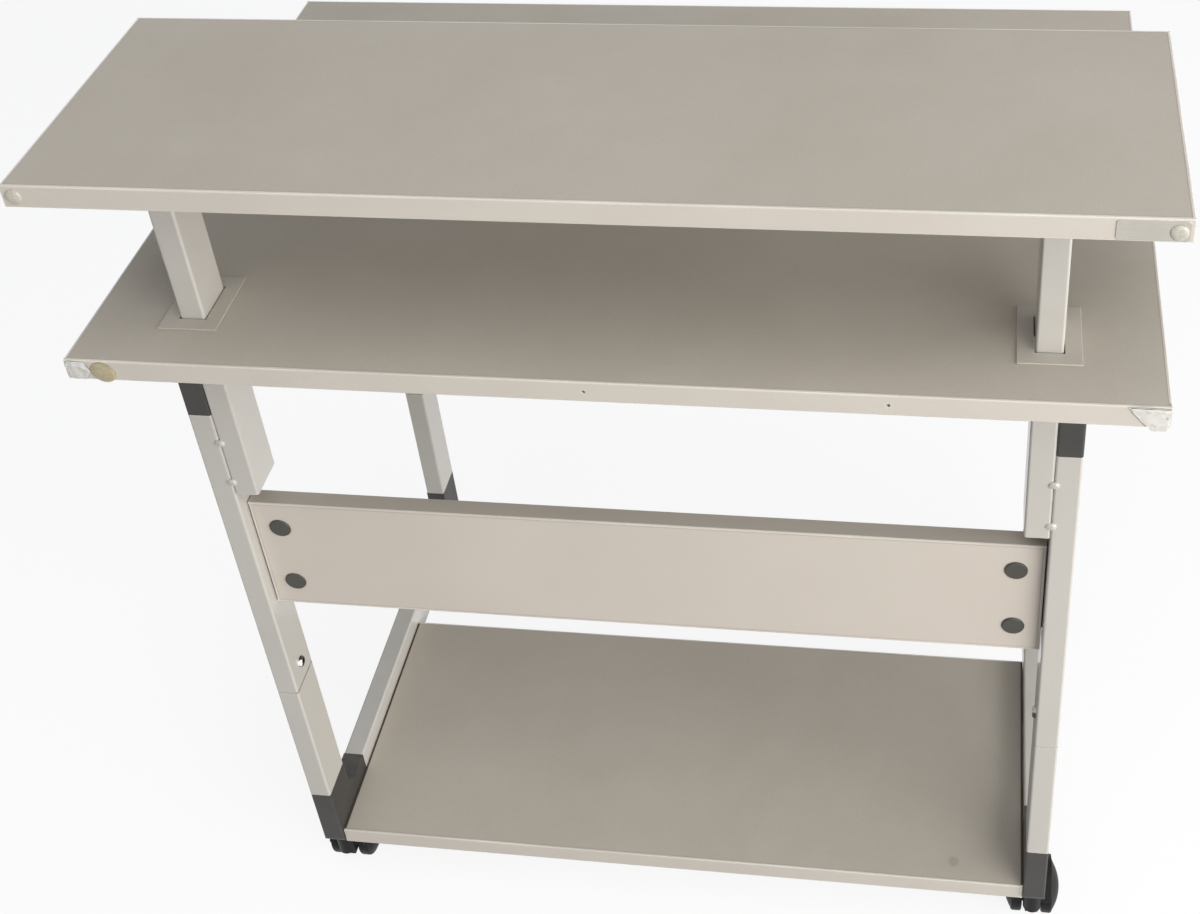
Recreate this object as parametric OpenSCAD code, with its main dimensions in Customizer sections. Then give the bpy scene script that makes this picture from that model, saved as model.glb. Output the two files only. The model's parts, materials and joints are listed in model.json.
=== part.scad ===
// Rolling computer desk: worktop, raised shelf, bottom shelf and cross panel on a steel frame.
// Units are millimetres. X runs across the desk, Y from front to back, and Z is up.
// The origin is on the floor, below the middle of the desk's footprint.
// Front is the side with the cross panel and the bare badge plate.
// The legs are telescopic; the drawn pose is their lowest, and the upper frame slides up from it.

/* [Boards] */
// Width of the worktop and of the raised shelf
top_w = 800; // [760:10:1000]
// Depth of the worktop
top_d = 560; // [560:10:680]
// Depth of the raised shelf
raised_d = 240; // [220:5:300]
// Thickness of the worktop, the raised shelf and the bottom shelf
board_t = 18; // [16:1:22]
// Clear height between the worktop and the raised shelf
raised_clear = 137; // [120:1:180]
// Thickness of the plastic edging round each board
edging_t = 2; // [1.5:0.5:3]
// Radius on the edging's outer edges
edging_r = 1; // [0.5:0.1:1.2]

/* [Side frames] */
// Distance from the worktop's end in to a side frame
side_overhang = 51; // [40:1:70]
// Depth of a side frame
frame_d = 455; // [435:5:480]
// Height of a side frame, from its bottom tube to its top tube
frame_h = 645; // [625:5:680]
// Distance from the worktop's front edge back to the front legs
frame_setback = 53; // [40:1:60]
// Width of the frame tube, across the desk
tube_w = 20; // [19:0.5:22]
// Depth of the frame tube
tube_d = 40; // [38:1:44]
// Wall of the frame tube and of the tubes inside the legs
tube_wall = 1.5; // [1.2:0.1:1.8]
// Outer corner radius of the frame tube
tube_r = 2.2; // [2:0.1:3]
// Height of the joint where the upper leg ends
seam_z = 290; // [270:5:300]
// Gap between the upper leg and the lower leg at the joint
seam_gap = 0.6; // [0.3:0.1:1]
// Running gap between the upper leg and the tube that it slides on, each side
slide_gap = 0.15; // [0.1:0.05:0.25]
// Travel of the height adjustment, up from the drawn pose
height_travel = 200; // [140:5:210]
// Length of inner tube that stays in the upper leg at full height
keep_overlap = 70; // [50:5:75]
// Diameter of the clamp screws
clamp_d = 10; // [6:0.5:12]
// Height of the clamp screws above the joint in the leg
clamp_rise = 21; // [12:1:30]
// Distance that a clamp screw stands out of the leg
clamp_proud = 2.6; // [1:0.2:4]

/* [Corner connectors] */
// Length of a connector's arm
corner_arm = 80; // [74:1:88]
// Radius of a connector's outer corner
corner_r = 15; // [8:1:18]
// Radius of a connector's inner corner
corner_fillet = 14; // [6:1:20]
// Length of the plugs that go into the tubes
plug_l = 38; // [25:1:45]
// Gap round a plug in its tube
plug_gap = 0.1; // [0.05:0.05:0.2]
// Wall of the hollow plugs
plug_wall = 2.6; // [2:0.1:3]

/* [Posts] */
// Height of the lower end of the two posts
post_z = 540; // [532:2:560]
// Gap round a post in the worktop
post_gap = 0.8; // [0.5:0.1:1.5]
// Width of the trim plate's rim round a post
trim_rim = 12.2; // [8:0.2:16]
// Thickness of the trim plates
trim_t = 1.2; // [0.8:0.1:2]
// Thickness of the plate welded on top of a post
head_plate_t = 3; // [2:0.5:5]
// Length of that plate
head_plate_l = 190; // [160:5:195]
// Radius of the weld beads between post and leg
weld_r = 3.2; // [2.5:0.1:4]
// Distance that a weld bead stands proud
weld_proud = 1.6; // [1:0.1:2.5]
// Height of the lower weld bead above the post's end
weld_rise = 13; // [8:1:20]
// Distance between the two weld beads
weld_pitch = 43; // [30:1:60]

/* [Cross panel] */
// Height of the panel
panel_h = 120; // [112:2:126]
// Thickness of the panel
panel_t = 16; // [15:1:18]
// Height of the panel's lower edge
panel_z = 399; // [380:1:404]
// Distance from the legs' front face back to the panel
panel_setback = 12; // [6:1:18]
// Gap between the panel and a leg
panel_gap = 1; // [0.5:0.5:3]
// Diameter of the screw caps
cap_d = 18.5; // [16:0.5:21]
// Thickness of the screw caps' rim
cap_t = 1.6; // [1:0.1:2.5]
// Distance from a screw to the leg beside it
cap_inset = 23.6; // [18:0.2:28]
// Distance between the two screws at one end
cap_pitch = 64; // [48:1:72]
// Diameter of the panel screws
panel_screw_d = 6; // [5:0.5:7]
// Thickness of the brackets behind the panel
bracket_t = 3; // [2:0.5:4]

/* [Bottom shelf] */
// Height of the shelf's top face
shelf_z = 81; // [80:1:84]
// Depth of the shelf
shelf_d = 270; // [240:5:300]
// Distance from the legs' front face back to the shelf
shelf_setback = 4; // [0:1:10]
// Gap between the shelf and a bottom tube
shelf_gap = 0.4; // [0.3:0.1:2]
// Thickness of the tabs under the shelf
tab_t = 2.5; // [2:0.5:2.5]

/* [Screws] */
// Diameter of the screws in the worktop
top_screw_d = 5; // [4:0.5:6]
// Diameter of the screws in the two shelves
shelf_screw_d = 4.5; // [4:0.5:5]
// Depth that the wood screws reach into a board
screw_bite = 12; // [8:1:13]
// Diameter of the two pilot holes in the worktop's front edge
pilot_d = 3; // [2:0.5:4]
// Depth of the pilot holes
pilot_l = 14; // [8:1:20]
// Distance between the pilot holes
pilot_pitch = 216; // [100:4:300]
// Distance from the middle of the desk to the middle of the pilot holes
pilot_x = 101; // [0:1:150]

/* [Castors] */
// Height of the side frames above the floor
castor_h = 60; // [60:1:66]
// Diameter of a wheel
wheel_d = 50; // [46:1:50]
// Width of a wheel, with its domed outer face
wheel_w = 17; // [14:0.5:18]
// Rise of that domed face above the tread's edge
wheel_dome = 6.5; // [4:0.5:7]
// Space between the two wheels of a castor
wheel_space = 18; // [17.5:0.5:22]
// Distance from the swivel axis back to the axle
trail = 26; // [24:0.5:30]
// Diameter of the swivel stem
stem_d = 10; // [8:0.5:10]
// Length of the stem inside the connector
stem_l = 36; // [25:1:38]
// Diameter of the axle
axle_d = 6; // [5:0.5:7]
// Radial gap of everything that turns on a stem, axle or pin
turn_gap = 0.05; // [0.03:0.01:0.1]
// Space between a wheel and the hood over it
hood_gap = 1.6; // [1.2:0.1:2]
// Thickness of the hood
hood_t = 2.4; // [1.8:0.2:2.8]

/* [Brake levers] */
// Distance from the axle to the lever's pin
brake_reach = 33.5; // [33:0.1:35]
// Angle of the pin above the axle
brake_angle = 40; // [36:1:44]
// Turn of the lever between free and locked
brake_turn = 25; // [15:1:30]
// Diameter of the lever's pin
brake_pin_d = 4; // [3:0.5:4.5]
// Length of the pedal beyond the pin
pedal_l = 13; // [10:0.5:14]
// Thickness of the pedal
pedal_t = 3; // [2:0.5:3.5]

/* [Badge and pads] */
// Width of the bare badge plate
badge_w = 46; // [36:1:60]
// Height of the bare badge plate
badge_h = 15; // [10:0.5:15.5]
// Thickness of the badge plate
badge_t = 0.6; // [0.4:0.1:1]
// Diameter of the small gel pads
pad_d = 12.5; // [8:0.5:14]
// Diameter of the large gel pad
big_pad_d = 17; // [12:0.5:17.5]
// Thickness of the gel pads
pad_t = 1.8; // [1:0.1:2.5]
// Thickness of the folded tape on the worktop's corners
tape_t = 0.8; // [0.4:0.1:1.5]
// Width of the tape on the left corner
left_tape_w = 19; // [14:1:24]
// Width of the tape on the right corner
right_tape_w = 29; // [20:1:34]
// Distance that the right tape hangs below the worktop
tape_hang = 6; // [2:1:9]

/* [Hidden] */
$fn = 48;
// A cut runs past the face it opens by this much
cut = 1;
// Hole for a screw's shank wider than the shank, and pilot for its thread wider than the thread
shank_clear = 0.2;
thread_clear = 0.04;
// Hole for something pressed or turned in wider than what fills it, and deeper than what goes in
press_clear = 0.1;
depth_clear = 0.3;

// Places along Y
// Half of what the pads stand proud, so that the origin is under the middle of the footprint
mid_shift = (badge_t + pad_t) / 2;
top_front = mid_shift - top_d / 2;
leg_front = top_front + frame_setback;
leg_back = leg_front + frame_d;
function leg_y(end) = end == 0 ? leg_front + tube_d / 2 : leg_back - tube_d / 2;

// Places along X
frame_w = top_w - 2 * side_overhang;
leg_x = frame_w / 2 - tube_w / 2;
leg_inner = frame_w / 2 - tube_w;
post_x = leg_inner - tube_w / 2;

// Places along Z
corner_top = castor_h + corner_arm;
frame_top = castor_h + frame_h;
upper_leg_top = frame_top - corner_arm;
worktop_top = frame_top + board_t;
raised_z = worktop_top + raised_clear;
clamp_z = seam_z + clamp_rise;

// Sections
bore_w = tube_w - 2 * tube_wall;
bore_d = tube_d - 2 * tube_wall;
bore_r = max(tube_r - tube_wall, 0.3);
inner_w = bore_w - 2 * slide_gap;
inner_d = bore_d - 2 * slide_gap;
// Radius that keeps what is inside a tube clear of its round inner corners
corner_clear = 0.6;
inner_r = bore_r + corner_clear;

// A rectangle with round corners
module round_rect(w, d, r) {
    square([w - 2 * r, d], center = true);
    square([w, d - 2 * r], center = true);
    for (x = [-1, 1], y = [-1, 1]) translate([x * (w / 2 - r), y * (d / 2 - r)]) circle(r = r);
}

// A rectangular tube standing on the XY plane
module tube(w, d, r, h) {
    linear_extrude(h) difference() {
        round_rect(w, d, r);
        round_rect(w - 2 * tube_wall, d - 2 * tube_wall, max(r - tube_wall, 0.3));
    }
}

// Turns something drawn upright so that it runs back along Y
module along_y() {
    rotate([-90, 0, 0]) children();
}

// Draws a flat outline of (Y, Z) points and gives it a width across X
module side_extrude(w) {
    translate([-w / 2, 0, 0]) rotate([90, 0, 90]) linear_extrude(w) children();
}

module on_side(side) {
    mirror([side < 0 ? 1 : 0, 0, 0]) children();
}

// A screw that points up, with its head below z = 0
module screw_up(d, l) {
    head_d = d * 1.8;
    head_h = d * 0.5;
    difference() {
        union() {
            cylinder(d = d, h = l - d / 2);
            translate([0, 0, l - d / 2]) cylinder(d1 = d, d2 = d / 4, h = d / 2);
            translate([0, 0, -head_h]) cylinder(d = head_d, h = head_h);
        }
        translate([0, 0, -head_h - cut]) cylinder(d = d * 0.6, h = cut + head_h * 0.6, $fn = 6);
    }
}

// Lower frame: bottom tubes, connectors, lower legs and their inner tubes, bottom shelf

tab_l = 30;
tab_reach = 28;
// Places of the two tabs along a bottom tube, from the front leg's face
tab_places = [115, 225];
function tab_y(i) = leg_front + tab_places[i];
shelf_under = shelf_z - board_t;

// Tube between two connectors at the foot, with the welded tabs that carry the bottom shelf
module base_tube(side) {
    tab_z = shelf_under - tab_t;
    color([0.78, 0.76, 0.72]) on_side(side) {
        translate([leg_x, leg_front + corner_arm, castor_h + tube_d / 2])
            along_y() tube(tube_w, tube_d, tube_r, frame_d - 2 * corner_arm);
        for (i = [0, 1]) difference() {
            translate([leg_inner - tab_reach, tab_y(i) - tab_l / 2, tab_z])
                cube([tab_reach + tube_wall / 2, tab_l, tab_t]);
            translate([leg_inner - tab_reach / 2, tab_y(i), tab_z - cut])
                cylinder(d = shelf_screw_d + shank_clear, h = tab_t + 2 * cut);
        }
    }
}

// Outline of a connector, in Y and Z, with its outer corner at the origin
module corner_outline() {
    difference() {
        square([corner_arm, corner_arm]);
        difference() {
            translate([tube_d, tube_d]) square([corner_arm, corner_arm]);
            difference() {
                square([tube_d + corner_fillet, tube_d + corner_fillet]);
                translate([tube_d + corner_fillet, tube_d + corner_fillet]) circle(r = corner_fillet);
            }
        }
        difference() {
            translate([-cut, -cut]) square([corner_r + cut, corner_r + cut]);
            translate([corner_r, corner_r]) circle(r = corner_r);
        }
    }
}

// A hollow plug with one cross rib, standing on the XY plane
module plug() {
    plug_w = bore_w - 2 * plug_gap;
    plug_d = bore_d - 2 * plug_gap;
    pocket_d = (plug_d - 3 * plug_wall) / 2;
    linear_extrude(plug_l) difference() {
        round_rect(plug_w, plug_d, inner_r);
        for (y = [-1, 1]) translate([0, y * (pocket_d + plug_wall) / 2])
            square([plug_w - 2 * plug_wall, pocket_d], center = true);
    }
}

// A connector with its outer corner at the origin, one arm up and one arm back
module corner_piece() {
    intersection() {
        side_extrude(tube_w) corner_outline();
        translate([0, corner_arm, 0]) linear_extrude(corner_arm)
            round_rect(tube_w, 2 * corner_arm, tube_r);
        translate([0, 0, corner_arm]) along_y() linear_extrude(corner_arm)
            round_rect(tube_w, 2 * corner_arm, tube_r);
    }
    translate([0, tube_d / 2, corner_arm]) plug();
    translate([0, corner_arm, tube_d / 2]) along_y() plug();
}

module place_corner(side, end) {
    translate([side * leg_x, end == 0 ? leg_front : leg_back, 0])
        mirror([0, end, 0]) children();
}

// Connector at the foot, bored from below for the castor's stem
module base_corner(side, end) {
    color([0.31, 0.31, 0.31]) place_corner(side, end) translate([0, 0, castor_h]) difference() {
        corner_piece();
        translate([0, tube_d / 2, -cut]) cylinder(d = stem_d + press_clear, h = stem_l + depth_clear + cut);
    }
}

module lower_leg(side, end) {
    color([0.80, 0.78, 0.74]) translate([side * leg_x, leg_y(end), corner_top])
        tube(tube_w, tube_d, tube_r, seam_z - seam_gap - corner_top);
}

// Inner tubes of the telescopic legs, standing on the connectors' plugs, fixed in the lower legs
module leg_inserts() {
    insert_z = corner_top + plug_l;
    color([0.80, 0.78, 0.74]) for (side = [-1, 1], end = [0, 1])
        translate([side * leg_x, leg_y(end), insert_z])
            tube(inner_w, inner_d, inner_r, seam_z + height_travel + keep_overlap - insert_z);
}

// A board's core, lying with its front left bottom corner at the origin
module board_core(w, d, t) {
    translate([edging_t, edging_t, 0]) cube([w - 2 * edging_t, d - 2 * edging_t, t]);
}

// One strip of edging along X, its inner face at y = 0 and its outer face towards -Y
module strip(l, t) {
    rotate([90, 0, 90]) linear_extrude(l) {
        translate([-edging_t + edging_r, 0]) square([edging_t - edging_r, t]);
        translate([-edging_t, edging_r]) square([edging_r, t - 2 * edging_r]);
        for (z = [edging_r, t - edging_r]) translate([-edging_t + edging_r, z]) circle(r = edging_r);
    }
}

// The strips along a board's front and back
module long_strips(w, d, t) {
    translate([0, edging_t, 0]) strip(w, t);
    translate([w, d - edging_t, 0]) rotate([0, 0, 180]) strip(w, t);
}

// The four strips round a board
module board_edging(w, d, t) {
    long_strips(w, d, t);
    translate([edging_t, d - edging_t, 0]) rotate([0, 0, -90]) strip(d - 2 * edging_t, t);
    translate([w - edging_t, edging_t, 0]) rotate([0, 0, 90]) strip(d - 2 * edging_t, t);
}

shelf_w = 2 * (leg_inner - shelf_gap);

module place_bottom_shelf() {
    translate([-shelf_w / 2, leg_front + shelf_setback, shelf_under]) children();
}

module each_tab_hole() {
    for (side = [-1, 1], i = [0, 1])
        translate([side * (leg_inner - tab_reach / 2), tab_y(i), shelf_under - tab_t]) children();
}

// Its cut ends face the bottom tubes; only its front and back edges have edging
module bottom_shelf() {
    color([0.66, 0.63, 0.58]) difference() {
        place_bottom_shelf() translate([0, edging_t, 0]) cube([shelf_w, shelf_d - 2 * edging_t, board_t]);
        each_tab_hole() cylinder(d = shelf_screw_d + thread_clear, h = tab_t + screw_bite + depth_clear);
    }
}

module bottom_shelf_edging() {
    color([0.84, 0.81, 0.77]) place_bottom_shelf() long_strips(shelf_w, shelf_d, board_t);
}

module bottom_shelf_screws() {
    color("silver") each_tab_hole() screw_up(shelf_screw_d, tab_t + screw_bite);
}

// Castor stems, fixed in the connectors, with a collar under each

collar_t = 1.5;
collar_rim = 3;
// Gap between a collar and the swivelling boss under it
swivel_gap = 0.3;
swivel_top = castor_h - collar_t - swivel_gap;
boss_z = 30;

module castor_stems() {
    color("silver") for (side = [-1, 1], end = [0, 1])
        translate([side * leg_x, leg_y(end), 0]) {
            translate([0, 0, boss_z]) cylinder(d = stem_d, h = castor_h + stem_l - boss_z);
            translate([0, 0, castor_h - collar_t]) cylinder(d = stem_d + 2 * collar_rim, h = collar_t);
        }
}

// Upper frame: legs, connectors, top tubes, posts, boards

// Outer tube of a telescopic leg, with the threaded hole for its clamp screw
module upper_leg(side, end) {
    color([0.79, 0.77, 0.73]) on_side(side) difference() {
        union() {
            translate([leg_x, leg_y(end), seam_z]) tube(tube_w, tube_d, tube_r, upper_leg_top - seam_z);
            if (end == 0) panel_bracket();
        }
        translate([leg_inner - cut, leg_y(end), clamp_z]) rotate([0, 90, 0])
            cylinder(d = clamp_d + press_clear, h = cut + tube_wall + slide_gap / 2);
    }
}

// Socket set screws that bear on the inner tubes
module clamp_screws() {
    socket_d = clamp_d / 2;
    rim = clamp_d / 10;
    color("silver") for (side = [-1, 1], end = [0, 1]) on_side(side)
        translate([leg_inner - clamp_proud, leg_y(end), clamp_z]) rotate([0, 90, 0]) difference() {
            union() {
                cylinder(d1 = clamp_d - 2 * rim, d2 = clamp_d, h = rim);
                translate([0, 0, rim]) cylinder(d = clamp_d, h = clamp_proud + tube_wall - rim);
            }
            translate([0, 0, -cut]) cylinder(d = socket_d, h = cut + clamp_proud + tube_wall / 2, $fn = 6);
        }
}

// Connector under the worktop
module top_corner(side, end) {
    color([0.31, 0.31, 0.31]) place_corner(side, end) translate([0, 0, frame_top])
        mirror([0, 0, 1]) corner_piece();
}

// Distance from the end of a connector's plug to the screw beside it
top_screw_inset = 12;
function top_screw_y(i) = i == 0 ? leg_front + corner_arm + plug_l + top_screw_inset
    : leg_back - corner_arm - plug_l - top_screw_inset;

module each_top_screw() {
    for (side = [-1, 1], i = [0, 1])
        translate([side * leg_x, top_screw_y(i), frame_top - tube_d]) children();
}

module top_tube(side) {
    color([0.78, 0.76, 0.72]) difference() {
        translate([side * leg_x, leg_front + corner_arm, frame_top - tube_d / 2])
            along_y() tube(tube_w, tube_d, tube_r, frame_d - 2 * corner_arm);
        translate([0, 0, -cut]) each_top_screw()
            cylinder(d = top_screw_d + shank_clear, h = tube_d + 2 * cut);
    }
}

module worktop_screws() {
    color("silver") each_top_screw() screw_up(top_screw_d, tube_d + screw_bite);
}

// Post head plate and its screws, behind and in front of the tube
head_plate_w = 40;
head_plate_front = 15;
head_screw_places = [-8, 84, 150];

module each_head_screw() {
    for (side = [-1, 1], y = head_screw_places)
        translate([side * post_x, leg_front + y, raised_z - head_plate_t]) children();
}

// Weld bead that lies on the fronts of post and leg and fills the groove's side of the post's wall
module weld_bead() {
    rotate([90, 0, 0]) cylinder(r1 = weld_r, r2 = weld_r / 2, h = weld_proud);
    intersection() {
        along_y() cylinder(r = weld_r, h = tube_wall * 2 / 3);
        translate([-2 * weld_r, 0, -weld_r]) cube([2 * weld_r, tube_wall, 2 * weld_r]);
    }
}

// One continuous tube from below the worktop to the raised shelf, welded to the leg beside it
module post(side) {
    color([0.79, 0.77, 0.73]) difference() {
        union() {
            translate([side * post_x, leg_y(0), post_z])
                tube(tube_w, tube_d, tube_r, raised_z - head_plate_t - post_z);
            translate([side * post_x - head_plate_w / 2, leg_front - head_plate_front,
                       raised_z - head_plate_t])
                cube([head_plate_w, head_plate_l, head_plate_t]);
            for (i = [0, 1]) on_side(side)
                translate([leg_inner, leg_front, post_z + weld_rise + i * weld_pitch]) weld_bead();
        }
        translate([0, 0, -cut]) each_head_screw()
            cylinder(d = shelf_screw_d + shank_clear, h = head_plate_t + 2 * cut);
    }
}

module place_worktop() {
    translate([-top_w / 2, top_front, frame_top]) children();
}

hole_w = tube_w + 2 * post_gap;
hole_d = tube_d + 2 * post_gap;

module each_pilot(l) {
    for (i = [-1, 1])
        translate([pilot_x + i * pilot_pitch / 2, top_front - cut, frame_top + board_t / 2])
            along_y() cylinder(d = pilot_d, h = l + cut);
}

module worktop() {
    color([0.69, 0.66, 0.61]) difference() {
        place_worktop() board_core(top_w, top_d, board_t);
        for (side = [-1, 1]) translate([side * post_x - hole_w / 2, leg_y(0) - hole_d / 2, frame_top - cut])
            cube([hole_w, hole_d, board_t + 2 * cut]);
        each_top_screw() cylinder(d = top_screw_d + thread_clear, h = tube_d + screw_bite + depth_clear);
        each_pilot(pilot_l);
    }
}

module worktop_edging() {
    color([0.85, 0.82, 0.78]) difference() {
        place_worktop() board_edging(top_w, top_d, board_t);
        each_pilot(pilot_l);
    }
}

// Thin plates that lie on the worktop round the posts
module post_trims() {
    color([0.68, 0.65, 0.60]) for (side = [-1, 1])
        translate([side * post_x, leg_y(0), worktop_top]) linear_extrude(trim_t) difference() {
            square([hole_w + 2 * trim_rim, hole_d + 2 * trim_rim], center = true);
            square([hole_w, hole_d], center = true);
        }
}

module place_raised_shelf() {
    translate([-top_w / 2, top_front, raised_z]) children();
}

module raised_shelf() {
    color([0.70, 0.67, 0.62]) difference() {
        place_raised_shelf() board_core(top_w, raised_d, board_t);
        each_head_screw()
            cylinder(d = shelf_screw_d + thread_clear, h = head_plate_t + screw_bite + depth_clear);
    }
}

module raised_shelf_edging() {
    color([0.85, 0.82, 0.78]) place_raised_shelf() board_edging(top_w, raised_d, board_t);
}

module raised_shelf_screws() {
    color("silver") each_head_screw() screw_up(shelf_screw_d, head_plate_t + screw_bite);
}

// Cross panel between the front legs, its screws and caps

panel_w = 2 * (leg_inner - panel_gap);
panel_y = leg_front + panel_setback;
bracket_w = 46;
bracket_h = 100;
screw_head_h = 3.4;
screw_head_d = 10.5;
// Depth of the counterbore that holds the screw's head and the cap's plug
sink_l = 6.6;
sink_d = screw_head_d + 1.4;
panel_socket_d = 4.6;
panel_socket_l = 2;
// Length of screw that stands out behind a bracket
screw_past = 3;

// Stands at each panel screw, on the panel's front face, with +Z pointing back
module each_panel_screw() {
    for (side = [-1, 1], i = [-1, 1])
        translate([side * (leg_inner - cap_inset), panel_y, panel_z + panel_h / 2 + i * cap_pitch / 2])
            along_y() children();
}

// Stands a board that was drawn lying down up on its lower edge, with its face to the front
module place_panel() {
    translate([-panel_w / 2, panel_y + panel_t, panel_z]) rotate([90, 0, 0]) children();
}

module cross_panel() {
    color([0.80, 0.77, 0.73]) difference() {
        place_panel() board_core(panel_w, panel_h, panel_t);
        each_panel_screw() {
            translate([0, 0, -cut]) cylinder(d = sink_d, h = sink_l + cut);
            cylinder(d = panel_screw_d + 2 * shank_clear, h = panel_t + cut);
        }
    }
}

module cross_panel_edging() {
    color([0.85, 0.82, 0.78]) place_panel() board_edging(panel_w, panel_h, panel_t);
}

module panel_screws() {
    color("silver") each_panel_screw() difference() {
        union() {
            translate([0, 0, sink_l - screw_head_h]) cylinder(d = screw_head_d, h = screw_head_h);
            translate([0, 0, sink_l])
                cylinder(d = panel_screw_d, h = panel_t + bracket_t + screw_past - sink_l);
        }
        translate([0, 0, sink_l - screw_head_h - cut])
            cylinder(d = panel_socket_d, h = cut + panel_socket_l, $fn = 6);
    }
}

// Push-in plastic caps with a slightly domed rim
module panel_screw_caps() {
    edge = cap_t / 2;
    color([0.33, 0.33, 0.32]) each_panel_screw() {
        translate([0, 0, -cap_t]) cylinder(d1 = cap_d - 2 * edge, d2 = cap_d, h = edge);
        translate([0, 0, edge - cap_t]) cylinder(d = cap_d, h = cap_t - edge);
        cylinder(d = sink_d - shank_clear, h = sink_l - screw_head_h - shank_clear);
    }
}

// Flat steel tab on the right front leg, welded to it behind the panel
module panel_bracket() {
    difference() {
        translate([leg_inner - bracket_w, panel_y + panel_t, panel_z + (panel_h - bracket_h) / 2])
            cube([bracket_w + tube_wall / 2, bracket_t, bracket_h]);
        each_panel_screw() cylinder(d = panel_screw_d + press_clear, h = panel_t + bracket_t + cut);
    }
}

// Bare badge plate, pads and tape on the front edges

badge_end = 2.5;
badge_x = top_w / 2 - badge_end - badge_w / 2;
raised_mid = raised_z + board_t / 2;
badge_r = 2.5;

module badge_plate() {
    color([0.82, 0.81, 0.79]) translate([badge_x, top_front, raised_mid]) rotate([90, 0, 0])
        linear_extrude(badge_t) round_rect(badge_w, badge_h, badge_r);
}

// A low dome of gel with its flat side at y = 0, bulging towards -Y
module gel_pad(d) {
    step_t = pad_t / 3;
    rotate([90, 0, 0]) {
        cylinder(d = d, h = step_t);
        translate([0, 0, step_t]) cylinder(d1 = d, d2 = d * 0.8, h = step_t);
        translate([0, 0, 2 * step_t]) cylinder(d1 = d * 0.8, d2 = d * 0.4, h = step_t);
    }
}

module gel_pads() {
    small_inset = 8.5;
    big_inset = 29;
    // The right one, stuck on the badge plate, sits a little lower and further in
    off = 1;
    color([0.80, 0.77, 0.66]) {
        translate([small_inset - top_w / 2, top_front, raised_mid]) gel_pad(pad_d);
        translate([top_w / 2 - small_inset - off, top_front - badge_t, raised_mid - off]) gel_pad(pad_d);
        translate([big_inset - top_w / 2, top_front, frame_top + board_t / 2]) gel_pad(big_pad_d);
    }
}

// Crumpled paper tape left on the worktop's two front corners, outlined in X and Z
module corner_tapes() {
    end = top_w / 2 - 0.3;
    high = board_t * 0.97;
    low = board_t * 0.03;
    color([0.93, 0.92, 0.90]) translate([0, top_front, 0]) rotate([90, 0, 0]) linear_extrude(tape_t) {
        translate([-end, frame_top]) polygon([
            [0, board_t * 0.2], [left_tape_w * 0.2, low], [left_tape_w * 0.75, low],
            [left_tape_w, board_t * 0.45], [left_tape_w * 0.85, board_t * 0.9],
            [left_tape_w * 0.15, high], [0, board_t * 0.8]]);
        translate([end, frame_top]) polygon([
            [0, high], [-right_tape_w, high], [-right_tape_w * 0.75, board_t * 0.5],
            [-right_tape_w * 0.5, -tape_hang / 2], [-right_tape_w * 0.35, -tape_hang],
            [-right_tape_w * 0.07, -tape_hang * 0.7], [0, low]]);
    }
}

// Castors: each is drawn round its swivel axis, trailing towards +Y, and the rear ones are turned round

axle_z = wheel_d / 2;
wheel_in = wheel_space / 2;
castor_half = wheel_in + wheel_w;
// Width of the rolling tread, from the wheel's inner face to where the dome starts
tread_w = wheel_w - wheel_dome;
hood_in = wheel_d / 2 + hood_gap;
// Distance from a tread's outer edge in to the hood's side
hood_inset = 1.5;
// Half thickness of the web between the wheels, and the distance that it reaches behind the axle
web_half = 6;
web_back = 14;
// Gap between the boss and a wheel
wheel_side_gap = 0.6;
boss_r = wheel_in - wheel_side_gap;
// Wall of the boss that holds the axle, and radial gap of the axle in it
axle_wall = 4;
axle_gap = 0.02;
// Where the tail that holds a brake's pin starts behind the axle, and its thickness below the pin
tail_start = 6;
tail_drop = 2;

module place_castor(side, end) {
    translate([side * leg_x, leg_y(end), 0]) mirror([0, end, 0]) children();
}

// Part of a ring between two angles, in the (Y, Z) plane
module ring_sector(r_in, r_out, from, to) {
    difference() {
        circle(r = r_out, $fn = 96);
        circle(r = r_in, $fn = 96);
        for (a = [from - 180, to]) rotate(a) translate([-2 * r_out, 0]) square([4 * r_out, 2 * r_out]);
    }
}

function brake_y() = trail + brake_reach * cos(brake_angle);
function brake_z() = axle_z + brake_reach * sin(brake_angle);
tail_half = 4;
lug_r = 4;

// Housing: swivel boss, web between the wheels, axle boss and the hood over both treads
module castor_housing(side, end) {
    // Angles where the hood ends, seen from the side; behind a brake lever it ends higher
    open_back = 18;
    lever_room = 12;
    hood_back = end == 0 ? open_back : brake_angle + lever_room;
    hood_front = 157;
    color([0.13, 0.13, 0.13]) place_castor(side, end) difference() {
        union() {
            translate([0, 0, boss_z]) cylinder(r = boss_r, h = swivel_top - boss_z);
            translate([0, trail, axle_z]) {
                side_extrude(2 * (wheel_in + tread_w - hood_inset))
                    ring_sector(hood_in, hood_in + hood_t, hood_back, hood_front);
                side_extrude(2 * boss_r) circle(r = axle_d / 2 + axle_wall);
                side_extrude(2 * web_half) intersection() {
                    circle(r = hood_in + hood_t / 2);
                    translate([-trail, -axle_d]) square([trail + web_back, hood_in + hood_t + axle_d]);
                }
            }
            if (end == 1) side_extrude(2 * tail_half) {
                translate([brake_y(), brake_z()]) circle(r = lug_r);
                translate([trail + tail_start, brake_z() - tail_drop])
                    square([brake_y() - trail - tail_start, tail_drop + lug_r]);
            }
        }
        translate([0, 0, boss_z - cut]) cylinder(r = stem_d / 2 + turn_gap, h = castor_h);
        translate([-castor_half, trail, axle_z]) rotate([0, 90, 0])
            cylinder(r = axle_d / 2 + axle_gap, h = 2 * castor_half);
        if (end == 1) translate([-castor_half, brake_y(), brake_z()]) rotate([0, 90, 0])
            cylinder(r = brake_pin_d / 2 + turn_gap, h = 2 * castor_half);
    }
}

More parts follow.
